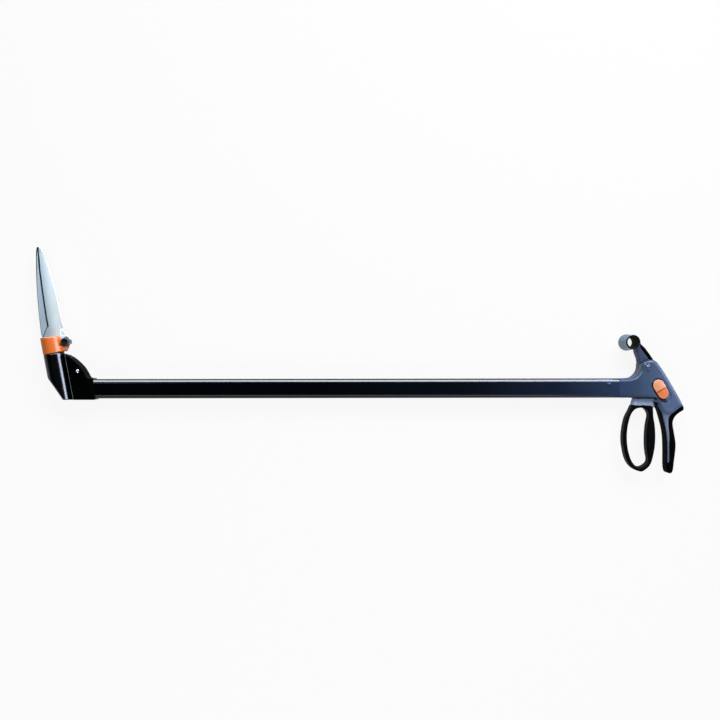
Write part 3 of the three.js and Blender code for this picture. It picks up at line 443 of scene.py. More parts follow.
class Nodes:
    """Short names for building a node tree. A value is an output, a number or a colour such as "#102030"."""

    def __init__(self, owner):
        owner.use_nodes = True
        self.tree = owner.node_tree
        self.coord = self.add("ShaderNodeTexCoord")

    def feed(self, socket, value):
        if hasattr(value, "is_output"):
            self.tree.links.new(value, socket)
        else:
            socket.default_value = srgb(value) if isinstance(value, str) else value

    def add(self, kind, **sockets):
        node = self.tree.nodes.new(kind)
        for key, value in sockets.items():
            self.feed(node.inputs[key.replace("_", " ")], value)
        return node

    def math(self, operation, a, b):
        node = self.add("ShaderNodeMath")
        node.operation = operation
        self.feed(node.inputs[0], a)
        self.feed(node.inputs[1], b)
        return node.outputs[0]

    def along(self, direction, kind="Object"):
        """How far a point lies in a direction."""
        node = self.add("ShaderNodeVectorMath")
        node.operation = "DOT_PRODUCT"
        self.feed(node.inputs[0], self.coord.outputs[kind])
        self.feed(node.inputs[1], direction)
        return node.outputs["Value"]

    def range(self, value, first, last, low=0.0, high=1.0, kind="LINEAR"):
        """Goes from first to last while the value goes from low to high."""
        node = self.add("ShaderNodeMapRange", Value=value, From_Min=low, From_Max=high,
                        To_Min=first, To_Max=last)
        node.interpolation_type = kind
        return node.outputs["Result"]

    def noise(self, scale, detail, rough, vector=None):
        node = self.add("ShaderNodeTexNoise", Scale=scale, Detail=detail, Roughness=rough,
                        Vector=vector or self.coord.outputs["Object"])
        return node.outputs["Fac"]

    def stretched(self, scale, turn=(0, 0, 0)):
        """Object coordinates scaled and turned."""
        node = self.add("ShaderNodeMapping", Vector=self.coord.outputs["Object"], Scale=scale, Rotation=turn)
        return node.outputs["Vector"]

    def ramp(self, value, stops):
        node = self.add("ShaderNodeValToRGB", Fac=value)
        while len(node.color_ramp.elements) < len(stops):
            node.color_ramp.elements.new(0.5)
        for element, (place, color) in zip(node.color_ramp.elements, stops):
            element.position = place
            element.color = srgb(color)
        return node.outputs["Color"]

    def mix(self, factor, a, b):
        node = self.add("ShaderNodeMix", Factor=factor)
        node.data_type = "RGBA"
        for socket, value in zip([s for s in node.inputs if s.type == "RGBA"], (a, b)):
            self.feed(socket, value)
        return [s for s in node.outputs if s.type == "RGBA"][0]


class Surface(Nodes):
    """A material built on the Principled shader."""

    def __init__(self, name, specular=0.5, metallic=0.0):
        self.material = bpy.data.materials.new(name)
        super().__init__(self.material)
        self.shader = self.tree.nodes["Principled BSDF"]
        self.shader.inputs["Specular IOR Level"].default_value = specular
        self.shader.inputs["Metallic"].default_value = metallic

    def bump(self, height, strength, distance, normal=None):
        node = self.add("ShaderNodeBump", Height=height, Strength=strength, Distance=distance)
        if normal:
            self.feed(node.inputs["Normal"], normal)
        return node.outputs["Normal"]

    def grained(self, grain, relief):
        """Fine moulded grain over slight waves."""
        fine = self.bump(self.noise(grain, 2, 0.5), relief, 0.0002)
        return self.bump(self.noise(45, 2, 0.5), relief * 0.4, 0.0006, fine)

    def gloss(self, rough, scale=160):
        """An uneven roughness between two values."""
        return self.range(self.noise(scale, 4, 0.6), rough[0], rough[1], 0.3, 0.7)

    def tones(self, scale, most, base, other):
        """A base colour with clouds of another, up to the share most."""
        return self.mix(self.range(self.noise(scale, 4, 0.6), 0.0, most, 0.3, 0.7), base, other)

    def edge_wear_and_highlight(self):
        """High on outer edges, where it marks edge wear and a painted edge highlight."""
        return self.range(self.add("ShaderNodeNewGeometry").outputs["Pointiness"], 0.0, 1.0, 0.52, 0.62)

    def worn_and_highlit(self, base, edge, least):
        """A base colour with patchy wear and painted highlight on its outer edges."""
        patch = self.range(self.noise(90, 3, 0.6), least, 0.8, 0.35, 0.65)
        return self.mix(self.math("MULTIPLY", self.edge_wear_and_highlight(), patch), base, edge)

    def finish(self, base, rough, normal):
        for name, value in (("Base Color", base), ("Roughness", rough), ("Normal", normal)):
            self.feed(self.shader.inputs[name], value)
        return self.material


def plastic(name, color, deep, rough=(0.3, 0.42), grain=1500, relief=0.1, edge=None, specular=0.5):
    """Moulded plastic in two close tones, with worn edges that also carry a painted highlight, where edge
    gives their colour.
    """
    n = Surface(name, specular)
    base = n.tones(28, 1.0, color, deep)
    if edge:
        base = n.worn_and_highlit(base, edge, 0.25)
    return n.finish(base, n.gloss(rough), n.grained(grain, relief))


def orange_thumb_painted_light_plastic(name, color, deep, edge=None, specular=0.25):
    return plastic(name, color, deep, (0.3, 0.4), 1600, 0.08, edge, specular)


def rubber(name, color, deep, rough=(0.45, 0.6), relief=0.22, specular=0.004):
    """Soft rubber with a pebbled grain."""
    n = Surface(name, specular)
    base = n.tones(60, 1.0, color, deep)
    roughness = n.range(n.noise(220, 3, 0.6), rough[0], rough[1], 0.3, 0.7)
    cells = n.add("ShaderNodeTexVoronoi", Scale=900.0, Vector=n.coord.outputs["Object"])
    fine = n.bump(cells.outputs["Distance"], relief, 0.00025)
    return n.finish(base, roughness, n.bump(n.noise(70, 2, 0.5), 0.12, 0.0008, fine))


def collar_plastic_painted_shade(name):
    """Orange moulding with painted shade, darker on the flank away from the knob, and with edge wear and a
    painted highlight on its outer edges.
    """
    n = Surface(name, 0.25)
    direction = (math.cos(LEAN), math.sin(LEAN), 0)
    axis = HEAD_X * MM * direction[0]
    # Painted shade: the ramp darkens the flank away from the knob.
    across = n.range(n.along(direction), 0.0, 1.0, axis - 0.018, axis - 0.003)
    base = n.ramp(across, [(0.0, "#8a3c10"), (0.5, "#cf6420"), (1.0, "#f07c2a")])
    base = n.tones(40, 0.2, base, "#d96420")
    # Outer edges made lighter: edge wear and a painted highlight.
    base = n.mix(n.range(n.edge_wear_and_highlight(), 0.0, 0.6, 0.54, 0.62), base, "#f4a266")
    return n.finish(base, n.gloss((0.28, 0.38)), n.bump(n.noise(1600, 2, 0.5), 0.08, 0.0002))


def metal(name, color, deep, rough=(0.3, 0.5), brush=(1, 1, 1), scale=300, relief=0.2, metallic=1.0):
    """Metal with fine marks, which the brush stretches, and dull spots."""
    n = Surface(name, metallic=metallic)
    lines = n.noise(scale, 4, 0.7, n.stretched(brush))
    base = n.mix(n.range(lines, 0.0, 1.0, 0.35, 0.65), color, deep)
    base = n.mix(n.range(n.noise(70, 4, 0.6), 0.0, 0.35, 0.5, 0.75), base, deep)
    return n.finish(base, n.range(lines, rough[0], rough[1], 0.3, 0.7), n.bump(lines, relief, 0.0001))


def body_plastic_painted_light(name):
    """Slate blue moulding with painted light: painted shade makes it darker along the snout, a painted
    highlight makes it paler down the grip, and its worn edges carry a painted highlight too.
    """
    n = Surface(name, 0.08)
    # Painted shade: darker towards the snout and paler towards the back of the handle.
    along = n.range(n.along((1, 0, 0)), 0.0, 1.0, JOINT_X * MM, 0.03)
    base = n.ramp(along, [(0.0, "#2f4064"), (0.3, "#394a69"), (0.55, "#3e5370"), (1.0, "#54688f")])
    # Painted highlight: a paler band down the grip's ridge.
    up = n.range(n.along((0, 1, 0)), 0.0, 1.0, -0.12, -0.03)
    grip = n.ramp(up, [(0.0, "#000000"), (0.24, "#909090"), (0.45, "#d8d8d8"), (0.68, "#f4f4f4"),
                       (1.0, "#000000")])
    base = n.tones(28, 0.15, n.mix(grip, base, "#8492ae"), "#384862")
    return n.finish(n.worn_and_highlit(base, "#66758c", 0.3), n.gloss((0.3, 0.42)), n.grained(1500, 0.1))


def blade_metal_painted_reflection(name, stops, reach):
    """Ground steel with a painted reflection: darker beside the ground edge and paler across the blade, with
    fine marks across the blade and cloudy tones.
    """
    n = Surface(name, metallic=0.45)
    marks = n.noise(260, 5, 0.75, n.stretched((0.6, 14, 1), (0, 0, -LEAN)))
    slant = 0.0567  # of the blade's long edge against the barrel's axis
    c, s = math.cos(LEAN), math.sin(LEAN)
    direction = (c + slant * s, s - slant * c, 0)
    start = HEAD_X * MM * direction[0] - 0.0082
    # Painted reflection: the ramp runs from dark beside the edge to pale across the blade.
    base = n.ramp(n.range(n.along(direction), 0.0, 1.0, start, start + reach), stops)
    base = n.mix(n.range(n.noise(34, 5, 0.65), 0.0, 0.3, 0.3, 0.7), base, "#8b9ba6")
    base = n.mix(n.range(marks, 0.0, 0.25, 0.4, 0.7), base, "#8fa0aa")
    return n.finish(base, n.range(marks, 0.36, 0.48, 0.3, 0.7), n.bump(marks, 0.08, 0.00012))


def tube_paint_painted_light(name, specular):
    """Dark lacquered tube with painted light: navy towards the handle and nearly black towards the head, with
    fine drawn lines.
    """
    n = Surface(name, specular)
    # Painted light: the colour ramps from nearly black at the head to navy at the handle.
    along = n.range(n.along((1, 0, 0)), 0.0, 1.0, -0.86, -0.05)
    base = n.ramp(along, [(0.0, "#020307"), (0.44, "#030509"), (0.72, "#0b1019"), (0.89, "#192236"),
                          (1.0, "#2d3b57")])
    fine = n.noise(2200, 3, 0.6, n.stretched((0.04, 1, 1)))
    base = n.mix(n.range(fine, 0.0, 0.03, 0.4, 0.7), base, "#26344b")
    return n.finish(base, n.gloss((0.13, 0.18), 120), n.bump(fine, 0.05, 0.0001))


body_blue = body_plastic_painted_light("slate_plastic")
body_arm = plastic("slate_plastic_arm", "#4c5672", "#434c68", edge="#4a5167", specular=0.02)
body_boss = plastic("slate_plastic_boss", "#455675", "#3b4a66", (0.1, 0.15), 1500, 0.04, "#6f7e95", 0.45)
# Painted light: a paler copy of the slate plastic for the lever's neck, standing in for light falling on it.
body_neck_painted_light = plastic("slate_plastic_lever_painted_light", "#aabfe2", "#9db2d8", edge="#8797b0", specular=0.06)
eye_blue = plastic("slate_plastic_eye", "#5a768e", "#4d6780", (0.35, 0.48), edge="#8495a6", specular=0.25)
dark_plastic = plastic("black_gloss_plastic", "#04060a", "#030406", (0.15, 0.21), 1300, 0.04, "#0c1018", 0.26)
shell_black = plastic("matt_black_plastic", "#030405", "#020303", (0.34, 0.46), 1300, 0.08, "#080a0e", 0.003)
# Painted highlight: a pale strip along the ledge edge of the bracket's shells.
shell_edge_highlight = plastic("shell_edge_painted_highlight", "#aab2c2", "#6f7888", (0.35, 0.5), 1300)
knob_black = plastic("knob_plastic", "#050606", "#030304", (0.35, 0.5), 1500, 0.12, "#1c1f22", 0.08)
knob_side = plastic("knob_grip", "#2e3236", "#1c1f22", (0.3, 0.45), relief=0.12, edge="#50565b")
# Painted shade: a dark plastic laid on the tray's end, the lip over the lever, the neck's top and the thumb's
# foot.
painted_shade = plastic("painted_shade_plastic", "#141a26", "#0e131c", (0.45, 0.6), 1400, 0.08, specular=0.1)
# Painted shade: black for the inside of the cross tube's bore.
bore_painted_shade = plastic("bore_painted_shade_plastic", "#040506", "#020303", (0.6, 0.8), specular=0.03)
nylon = plastic("natural_nylon", "#cfc9b8", "#bdb6a2", (0.45, 0.6), 1000, 0.15)
# Painted shade: a dark strip along the blades' ground edges and round the bolt under the knob.
edge_painted_shade = plastic("ground_edge_painted_shade", "#0b0e14", "#06080b", (0.4, 0.55), 900, specular=0.15)
orange = collar_plastic_painted_shade("orange_plastic")
# Lit and shaded copies of the thumb piece's orange: a painted highlight on the upper slope, and painted shade
# on the lower slope and below the ridge.
orange_thumb_painted_highlight = orange_thumb_painted_light_plastic("orange_thumb_painted_light_plastic", "#efa177", "#e79868", "#fab48c")
orange_ridge_painted_shade = orange_thumb_painted_light_plastic("orange_thumb_plastic_ridge_painted_shade", "#b8643e", "#ac5a36", specular=0.1)
orange_thumb_painted_shade = orange_thumb_painted_light_plastic("orange_thumb_plastic_painted_shade", "#f08a58", "#e87e4c", "#f2a27a", 0.2)
soft_black = rubber("soft_black", "#050606", "#030303")
soft_loop = rubber("soft_black_loop", "#08090c", "#040506", (0.36, 0.48), 0.18, 0.012)
steel = metal("bright_steel", "#b9bfc4", "#8c9298", (0.18, 0.32), (1, 12, 12), 900, 0.12)
zinc = metal("zinc_plate", "#9da0a3", "#6c7074", (0.28, 0.5))
blued = metal("blued_steel", "#333f55", "#1d2535")
brass_zinc = metal("yellow_zinc", "#b7a777", "#8d7f58", scale=350)
blade_raw = metal("unground_steel", "#bcc6ce", "#a4aeb6", (0.4, 0.55), scale=900, relief=0.12, metallic=0.4)
blade_front = blade_metal_painted_reflection("ground_steel_front", [
    (0.0, "#8c9ca4"), (0.3, "#a0adb2"), (0.6, "#b9c5c9"), (1.0, "#d2d8d8")], 0.015)
blade_rear = blade_metal_painted_reflection("ground_steel_rear", [(0.0, "#98a8b4"), (1.0, "#b2c3ca")], 0.012)
tube_navy = tube_paint_painted_light("navy_tube", 0.26)
tube_flat = tube_paint_painted_light("navy_tube_flat", 0.004)


# Outlines in plan

BODY = [
    (4, -15.5), (10, -17), (14.5, -20.5), (17.5, -26), (21, -33.5), (26.5, -39), (33, -40), (39.2, -38.6),
    (45, -34.5), (52, -29.6), (55.6, -28.3), (53.7, -24.2), (47, -11.5), (36.9, 6), (26.8, 23.2),
    (15, 40.5), (10, 44.8), (0, 44.5), (-10.5, 40), (-10, 33), (-11.5, 27), (-17, 20), (-24, 16.2),
    (-30, 15.5),
]
SNOUT = [(-70, TUBE_HEIGHT / 2), (-70, -TUBE_HEIGHT / 2)]
SPINE = [
    (17.5, -26), (22, -37), (26.6, -54.6), (29.8, -75), (31, -93), (31.8, -118), (33.4, -118), (34.1, -93),
    (34.5, -75), (33.0, -58), (34.2, -46), (38.6, -40), (44, -35), (40, -29), (26, -26),
]
GRIP = [
    (15, -21.5), (20.3, -36.7), (24.5, -51.1), (27.8, -64.5), (29.8, -79.7), (30.3, -100), (30.6, -126),
    (32, -133), (34.4, -135.5), (38, -135.5), (40.5, -132), (42.5, -119), (44.4, -104), (45.4, -94),
    (45, -84), (42.5, -68.6), (40.8, -56), (42.7, -48.4), (46.8, -42.8), (52.5, -38.5), (58.1, -34.5),
    (56.8, -27.5), (47, -27), (36, -31), (26, -28),
]
CAVITY = [
    (-34, 12.9), (-22, 12.9), (-13, 19.5), (-8.6, 27), (-8.6, 40.5), (7, 42), (13, 33), (23, 19), (31, 5),
    (36, -6), (33, -15), (24, -19), (14, -15), (11, -12.9), (-34, -12.9),
]
LEVER_SLOT = [(-32.1, -34), (13.5, -34), (13.5, -10), (-32.1, -10)]
ARM = [
    (-10.5, 39.5), (-12.6, 47), (-15.6, 55), (-18, 64), (-24.5, 73), (-13, 74.5), (-6, 66.5), (2, 55.5),
    (9.5, 45.5), (9, 40),
]
PAD = [(-10, 64), (-2, 53), (4, 44.2), (10.4, 44.2), (9.8, 46), (3.4, 55.3), (-3.5, 64.5), (-10.5, 71)]
LOOP_OUT = [
    (-20, -24), (-27, -36), (-32.5, -47), (-35.5, -59), (-37.5, -72.5), (-37.7, -85), (-36, -98),
    (-33, -111), (-28, -121.5), (-21, -128.5), (-14, -132), (-7.5, -133), (-2, -130), (4.5, -124),
    (8.5, -115.5), (11, -105), (13, -94), (14, -76), (13, -58.5), (11, -46), (10.5, -36), (9.5, -28),
    (2, -25.5), (-10, -25),
]
LOOP_IN = [
    (-10, -31.5), (-18, -34), (-24, -41), (-28, -52.5), (-30.5, -65.5), (-31.3, -80), (-30.2, -94),
    (-27.6, -106), (-23, -117.5), (-17, -124), (-10, -125.7), (-4, -123.5), (1.5, -118.5), (2.5, -113),
    (1.2, -105), (0, -95), (-0.3, -80.5), (0.7, -64), (2.2, -54), (4, -44), (2.5, -38.5), (-2, -33),
]
NECK = [
    (-18.5, -12), (-19, -16), (-21.5, -27), (-16, -31), (-6, -28.2), (6, -31), (11.5, -31), (12, -20),
    (12, -17), (8.5, -12),
]
WEB = [
    (-17, -13), (8.5, -13), (8, -6), (6.5, 8), (4.5, 20), (1, 34), (-6, 34), (-6, 20), (-5.5, 5),
    (-5.5, -6), (-9, -9.5),
]

# Outlines of the blades in the head's t and s
GROUND_EDGE = [
    (4.8, 229.3), (3.3, 214.5), (0.9, 191.5), (-0.7, 162.2), (-1.8, 137.3), (-2.6, 112.4), (-2.6, 102.5),
    (-8, 94.2), (-12.4, 87.1),
]
MOVING = [
    (4.8, 229.8), (7.4, 229.2), (9.6, 228.1), (11.8, 224.6), (13.6, 219.6), (16.4, 204), (18.9, 186.5),
    (20.7, 165.7), (21.6, 144.9), (22.3, 125.4), (22.9, 110.4), (23.0, 100), (22.6, 96.2), (19.9, 93.2),
    (20.6, 91.4), (23.2, 88.6), (25.2, 84.4), (26.4, 81), (28.0, 77), (28.7, 72.4), (28.4, 68),
    (26.2, 64.6), (22.5, 63.1), (9, 62.8), (-3.6, 62.8), (-6, 66), (-5.4, 73.5), (-12, 81), (-12.4, 87),
] + GROUND_EDGE[-2:0:-1]
FIXED = [
    (3.6, 229.5), (1.2, 222), (0, 215.5), (-2.6, 201), (-5, 186.6), (-7, 173), (-8.8, 159.9), (-10.4, 146),
    (-11.8, 131.8), (-13, 118), (-14, 103.7), (-14.9, 90.2), (-12.9, 83.4), (-12.9, 63.8), (21, 62.8),
    (26, 64.2), (28.3, 68), (28.6, 72), (27, 77.5), (21, 83.3), (16.5, 96), (15.2, 121.5), (13.6, 162),
    (11.4, 195), (8.1, 222),
]
FIXED_BACK = [FIXED[11]] + FIXED[10::-2]  # from the collar to the tip, by every other point
BLADE_INNER, BLADE_OUTER = 0.15, 2.75  # levels of a blade's faces on either side of the mid-plane
BLADE_BORE = 4.1
HEEL_TOP = 99.5


# Screws

def screw_piece(name, body, node, material, centre, head, sign, shank, drive="cross", place=to_tool):
    """A screw along z. head and shank are (radius, low, high), and sign is the side that its drive faces."""
    radius, low, high = head
    g = grid_round(centre, radius, min(low, shank[1]), max(high, shank[2]), 0.22)
    r = g.round(centre)
    top = high if sign > 0 else low
    dome = (r ** 2) / (radius * 5)
    cap = np.maximum(r - radius, slab(g.z, low, high))
    cap = np.maximum(cap, sign * (g.z - top) + dome)
    deep = np.abs(g.z - top) - (high - low) * 0.62
    u, v = np.abs(g.x - centre[0]), np.abs(g.y - centre[1])
    if drive == "cross":
        arm = np.minimum(np.maximum(u - radius * 0.55, v - radius * 0.15),
                         np.maximum(v - radius * 0.55, u - radius * 0.15))
    else:
        arm = np.abs((g.x - centre[0]) * 0.8 + (g.y - centre[1]) * 0.6) - radius * 0.16
    cap = np.maximum(cap, -np.maximum(arm, deep))
    rod = np.maximum(r - shank[0], slab(g.z, shank[1], shank[2]))
    piece(name, body, node, [material], g, np.minimum(cap, rod), place)


def rear_screws(name, body, node, screws, end, height=1.9, place=to_tool):
    """Small screws put in from behind, each with its place and the level of its head's outer face."""
    for i, (centre, outer) in enumerate(screws, 1):
        inner = outer + height
        screw_piece(f"{name}_{i}", body, f"{node}_{i}", zinc, centre, (SCREW_HEAD, outer, inner), -1,
                    (SCREW_SHANK, inner - 0.4, end), place=place)


def screw_hole(g, solid, centre, floor, end, room=0.5, blend=0.4):
    """The solid with a hole for a small screw: up to floor for its head and up to end for its shank."""
    r = g.round(centre)
    solid = cut(solid, np.maximum(r - (SCREW_HEAD + room), g.z - floor), blend)
    return cut(solid, np.maximum(r - (SCREW_SHANK + room - 0.05), g.z - end))


# Handle

def spine_outline(g):
    """The ridge between the soft sides of the grip, kept inside the grip's own outline."""
    rim, top = 1.3, -44
    inside_grip = np.where(g.y < top, g.polygon(smoothed(GRIP, 260)) + rim, -1e3)
    return np.maximum(g.polygon(smoothed(SPINE, 220)), inside_grip)


def body_outline(g):
    return g.polygon(soft_corners(SNOUT + BODY, 3.2))


def tongue(g, radius, half):
    """The hanging arm's end inside the housing."""
    return prism(g.polygon(capsule(PIVOT, TONGUE_TOP, radius)), g.z, -half, half)


def housing_field(g):
    """The housing as one solid with its hollows."""
    swell = 34  # length over which the snout grows from the tube's width to the housing's
    ease = np.clip((g.x - JOINT_X) / swell, 0, 1)
    ease = ease * ease * (3 - 2 * ease)
    half = TUBE_WIDTH / 2 + (HOUSING_HALF - TUBE_WIDTH / 2) * ease
    solid = meet(body_outline(g), np.abs(g.z) - half, 6.8 - 1.6 * ease)
    solid = join(solid, prism(spine_outline(g), g.z, -14.4, 14.4, 1.8), 3.0)
    solid = np.maximum(solid, JOINT_X + 0.05 - g.x)
    room = np.minimum(HOUSING_HALF - 2.8, half - 2.9)
    solid = cut(solid, np.maximum(g.polygon(CAVITY), np.abs(g.z) - room))
    solid = cut(solid, prism(g.polygon(LEVER_SLOT), g.z, -9.4, 9.4), 0.8)
    rod_channel = np.maximum(np.hypot(g.y, g.z) - 4.9, g.x + 25)
    solid = cut(solid, rod_channel)
    hinge = g.round(PIVOT)
    solid = cut(solid, hinge - PIN_BORE)
    solid = cut(solid, tongue(g, 6.4, 9.3))
    solid = cut(solid, np.maximum(hinge - (CAP_RADIUS + 0.35), g.z + 17.8))
    solid = cut(solid, np.maximum(hinge - (CAP_RADIUS + 0.7), 19.2 - g.z), 0.5)
    reach = THUMB_HALF - THUMB_RADIUS + 0.5
    tray = capsule(lock_point(-reach, 0), lock_point(reach + LOCK_TRAVEL, 0), THUMB_RADIUS + 0.9)
    solid = cut(solid, prism(g.polygon(tray), g.z, 18.5, 30), 0.8)
    end, side = STEM_HALF_LENGTH + 0.4, STEM_HALF_WIDTH + 0.4
    stem_slot = lock_block(g, LOCK, (-end, end + LOCK_TRAVEL), (-side, side))
    solid = cut(solid, prism(stem_slot, g.z, 0, 40))
    arm_room = prism(g.polygon(ARM), g.z, -11.3, 11.3)
    solid = cut(solid, np.maximum(arm_room, 38 - g.y))
    for centre, outer in HOUSING_SCREWS:
        solid = screw_hole(g, solid, centre, outer + 2.2, 7)
    return solid


def paint_housing_shade(p):
    """Painted shade on the end of the thumb piece's tray, and along the lip over the lever."""
    x, y, z = p[:, 0], p[:, 1], p[:, 2]
    along, across = lock_axes(x, y)
    off = np.hypot(along - np.clip(along, -8, 14), across)
    shade = (across < -3 + np.clip(along - 9, 0, 2.5)) & (along > -15)
    tray = (off < 10.6) & shade & (z > 18.2) & (z < 19.9)
    lip_shade = (y < -14.4) & (np.abs(x + 4) < 17.5)
    return (tray | lip_shade).astype(int)


def make_housing():
    g = Grid((-44, -119.5, -20.2), (57, 45.5, 21.2), 0.8)
    field = housing_field(g)
    piece("housing_front", "frame", "handle_front", [body_blue, painted_shade], g, front_half(g, field),
          paint=paint_housing_shade)
    piece("housing_rear", "frame", "handle_rear", [body_blue], g, rear_half(g, field))
    rear_screws("housing_screw_head", "frame", "housing_screw", HOUSING_SCREWS, 4.4)
    for side, sign in (("front", 1), ("rear", -1)):
        head = (2.5, *sorted((sign * 12.2, sign * 13.4)))
        shank = (1.35, *sorted((sign * 5.4, sign * 12.5)))
        screw_piece(f"tube_screw_{side}", "frame", f"shaft_screw_{side}", blued, SHAFT_SCREW,
                    head, sign, shank)


def make_grip():
    """The soft sides of the fixed grip, which leave room for the spine and the housing."""
    g = Grid((14.5, -137, -16), (59, -21, 16), 0.6)
    half, edge, gap = 13.8, 4.8, 0.3
    solid = prism(g.polygon(smoothed(GRIP, 260)), g.z, -half, half, edge)
    solid = cut(solid, spine_outline(g) - gap)
    solid = cut(solid, body_outline(g) - gap)
    piece("grip_cover", "frame", "grip_soft", [soft_black], g, solid)


def make_hanger():
    """The arm above the housing, the soft pad along its back and the cross tube at its end."""
    g = Grid((-26, 28, -12), (12, 76, 12), 0.55)
    gap = 0.35
    body_room = body_outline(g) - gap
    eye_room = g.round(EYE) - EYE_ROOM
    arm = prism(g.polygon(smoothed(ARM, 160)), g.z, -11, 11, 3.4)
    fork = np.maximum(np.abs(g.z) - 4.4, g.y - 40.2)
    arm = join(cut(arm, body_room), cut(tongue(g, 6, 8.8), fork))
    arm = cut(cut(arm, g.polygon(PAD) - gap), eye_room)
    piece("hanging_arm", "frame", "hanger_arm", [body_arm], g, cut(arm, g.round(PIVOT) - PIN_BORE))
    pad = prism(g.polygon(soft_corners(PAD, 0.8)), g.z, -11.2, 11.2, 1.8)
    piece("arm_pad", "frame", "hanger_pad", [soft_black], g, cut(cut(pad, body_room), eye_room))
    make_eye()


def make_eye():
    """A cross tube that widens towards the back."""
    g = grid_round(EYE, 13.5, -20, 20, 0.5)
    r = g.round(EYE)
    flare = np.clip((6 - g.z) / 26, 0, 1)
    tube = prism((r - 11.8 - 1.6 * flare) * 0.99, g.z, -20, 20, 1.6)

    # Painted shade inside the bore.
    def paint_eye_bore_shade(p):
        inner = np.hypot(p[:, 0] - EYE[0], p[:, 1] - EYE[1]) < 11.2
        return (inner & (p[:, 2] > -18.5)).astype(int)

    piece("hanging_eye", "frame", "hanger_eye", [eye_blue, bore_painted_shade], g,
          cut(tube, r - 8.6, 1.2), paint=paint_eye_bore_shade)


def make_bosses():
    """The domed covers over the ends of the lever's pin, each with a groove and a raised middle."""
    height, groove_radius = 1.6, 4.6
    for side, low, sign in (("front", 20.3, 1), ("rear", -19.7, -1)):
        g = grid_round(PIVOT, CAP_RADIUS, low, low + height, 0.25)
        r = g.round(PIVOT)
        face = low + height if sign > 0 else low
        crown = face - sign * (0.55 + 0.008 * r ** 2)
        cap = np.maximum(prism(r - CAP_RADIUS, g.z, low, low + height, 0.5), sign * (g.z - crown))
        knop = np.hypot(r, sign * (g.z - crown) + 3.9) - 4.5
        cap = join(cap, np.maximum(knop, sign * (crown - g.z)), 0.15)
        groove = np.maximum(np.abs(r - groove_radius) - 0.22, np.abs(g.z - crown) - 0.6)
        piece(f"boss_{side}", "frame", f"pin_cap_{side}", [body_boss], g, cut(cap, groove, 0.2))


# Lever and lock

def neck(g):
    return prism(g.polygon(smoothed(NECK, 140)), g.z, -9, 9, 2.4)


def make_lever():
    """The lever's neck, its web inside the housing and the hook that the lock's pin holds."""
    g = Grid((-22, -33, -9.2), (26, 40, 9.2), 0.55)
    half = 4
    web = prism(g.polygon(WEB), g.z, -half, half)
    hub = np.maximum(g.round(PIVOT) - 5.2, np.abs(g.z) - half)
    x, y = turned(LOCK_TRAVEL, 0, LOCK_TILT)
    locked = (LOCK_PIN[0] + x, LOCK_PIN[1] + y)
    hook = join(lock_block(g, locked, (-3, 6.2), (2.6, 4.8)), lock_block(g, locked, (3.2, 6.2), (-9, 4.8)))
    hook = np.maximum(hook, np.abs(g.z) - half)
    solid = join(join(join(neck(g), web, 1.5), hub), hook)
    solid = cut(solid, g.round(PIVOT) - LEVER_BORE)
    solid = cut(solid, g.round((PIVOT[0] + STROKE / 2, 0)) - LEVER_BORE)
    # Painted shade along the top of the neck, under the housing's lip.
    piece("lever_neck", "lever", "lever", [body_neck_painted_light, painted_shade], g, solid,
          paint=lambda p: (p[:, 1] > -16.8).astype(int))


def make_loop():
    """The soft cover round the lever's loop."""
    g = Grid((-38, -134, -10), (14.5, -24.5, 10), 0.6)
    outer, inner = g.polygon(smoothed(LOOP_OUT, 260)), g.polygon(smoothed(LOOP_IN, 220))
    ring = prism(np.maximum(outer, -inner), g.z, -10, 10, 3.0)
    off = g.x + 8
    top = -27.6 - 0.0024 * off * np.abs(off)
    ring = np.maximum(ring, g.y - top)
    piece("loop_cover", "lever", "lever_sleeve", [soft_loop], g, cut(ring, neck(g) - 0.15))


def make_lock():
    """The thumb piece: two slopes that meet in a ridge, and the stem under them."""
    reach = THUMB_HALF + 0.5
    corners = np.array([lock_point(a, c) for a in (-reach, reach) for c in (-THUMB_RADIUS, THUMB_RADIUS)])
    g = Grid((*corners.min(0), 15), (*corners.max(0), 24.2), 0.35)
    along, across = lock_axes(g.x, g.y)
    straight = THUMB_HALF - THUMB_RADIUS
    outline = g.polygon(capsule(lock_point(-straight, 0), lock_point(straight, 0), THUMB_RADIUS))
    ridge, slope = 24.0, 4.5
    rear = ridge + np.minimum(along, 0) * 0.13
    drop = np.clip(along / slope, 0, 1)
    front = ridge - 1.5 * (1 - (1 - drop) ** 2) - np.maximum(along - slope, 0) * 0.06
    crown = np.where(along < 0, rear, front) - (np.abs(across) / THUMB_RADIUS) ** 2 * 0.7
    solid = meet(np.maximum(outline, 18.8 - g.z), g.z - crown, 0.9)
    stem = np.maximum(np.abs(along) - STEM_HALF_LENGTH, np.abs(across) - STEM_HALF_WIDTH)
    stem = np.maximum(stem, np.maximum(15.3 - g.z, g.z - 20))

    # Painted light on the thumb piece: a painted highlight on the upper slope, and painted shade on the lower
    # slope, below the ridge and at the foot of the wall.
    def paint_thumb_light_and_shade(p):
        u, v = lock_axes(p[:, 0], p[:, 1])
        wall = np.hypot(u - np.clip(u, -straight, straight), v) > 8.4
        top = np.where(u > 0.4, np.where(u + 0.12 * v > 1.5, 1, 3), 0)
        return np.where(wall & (p[:, 2] < 21.6), 2, top)

    piece("lock_thumb", "lock", "lock_slider", [orange_thumb_painted_highlight, orange_thumb_painted_shade, painted_shade, orange_ridge_painted_shade], g,
          np.minimum(solid, stem), paint=paint_thumb_light_and_shade)


# Shaft

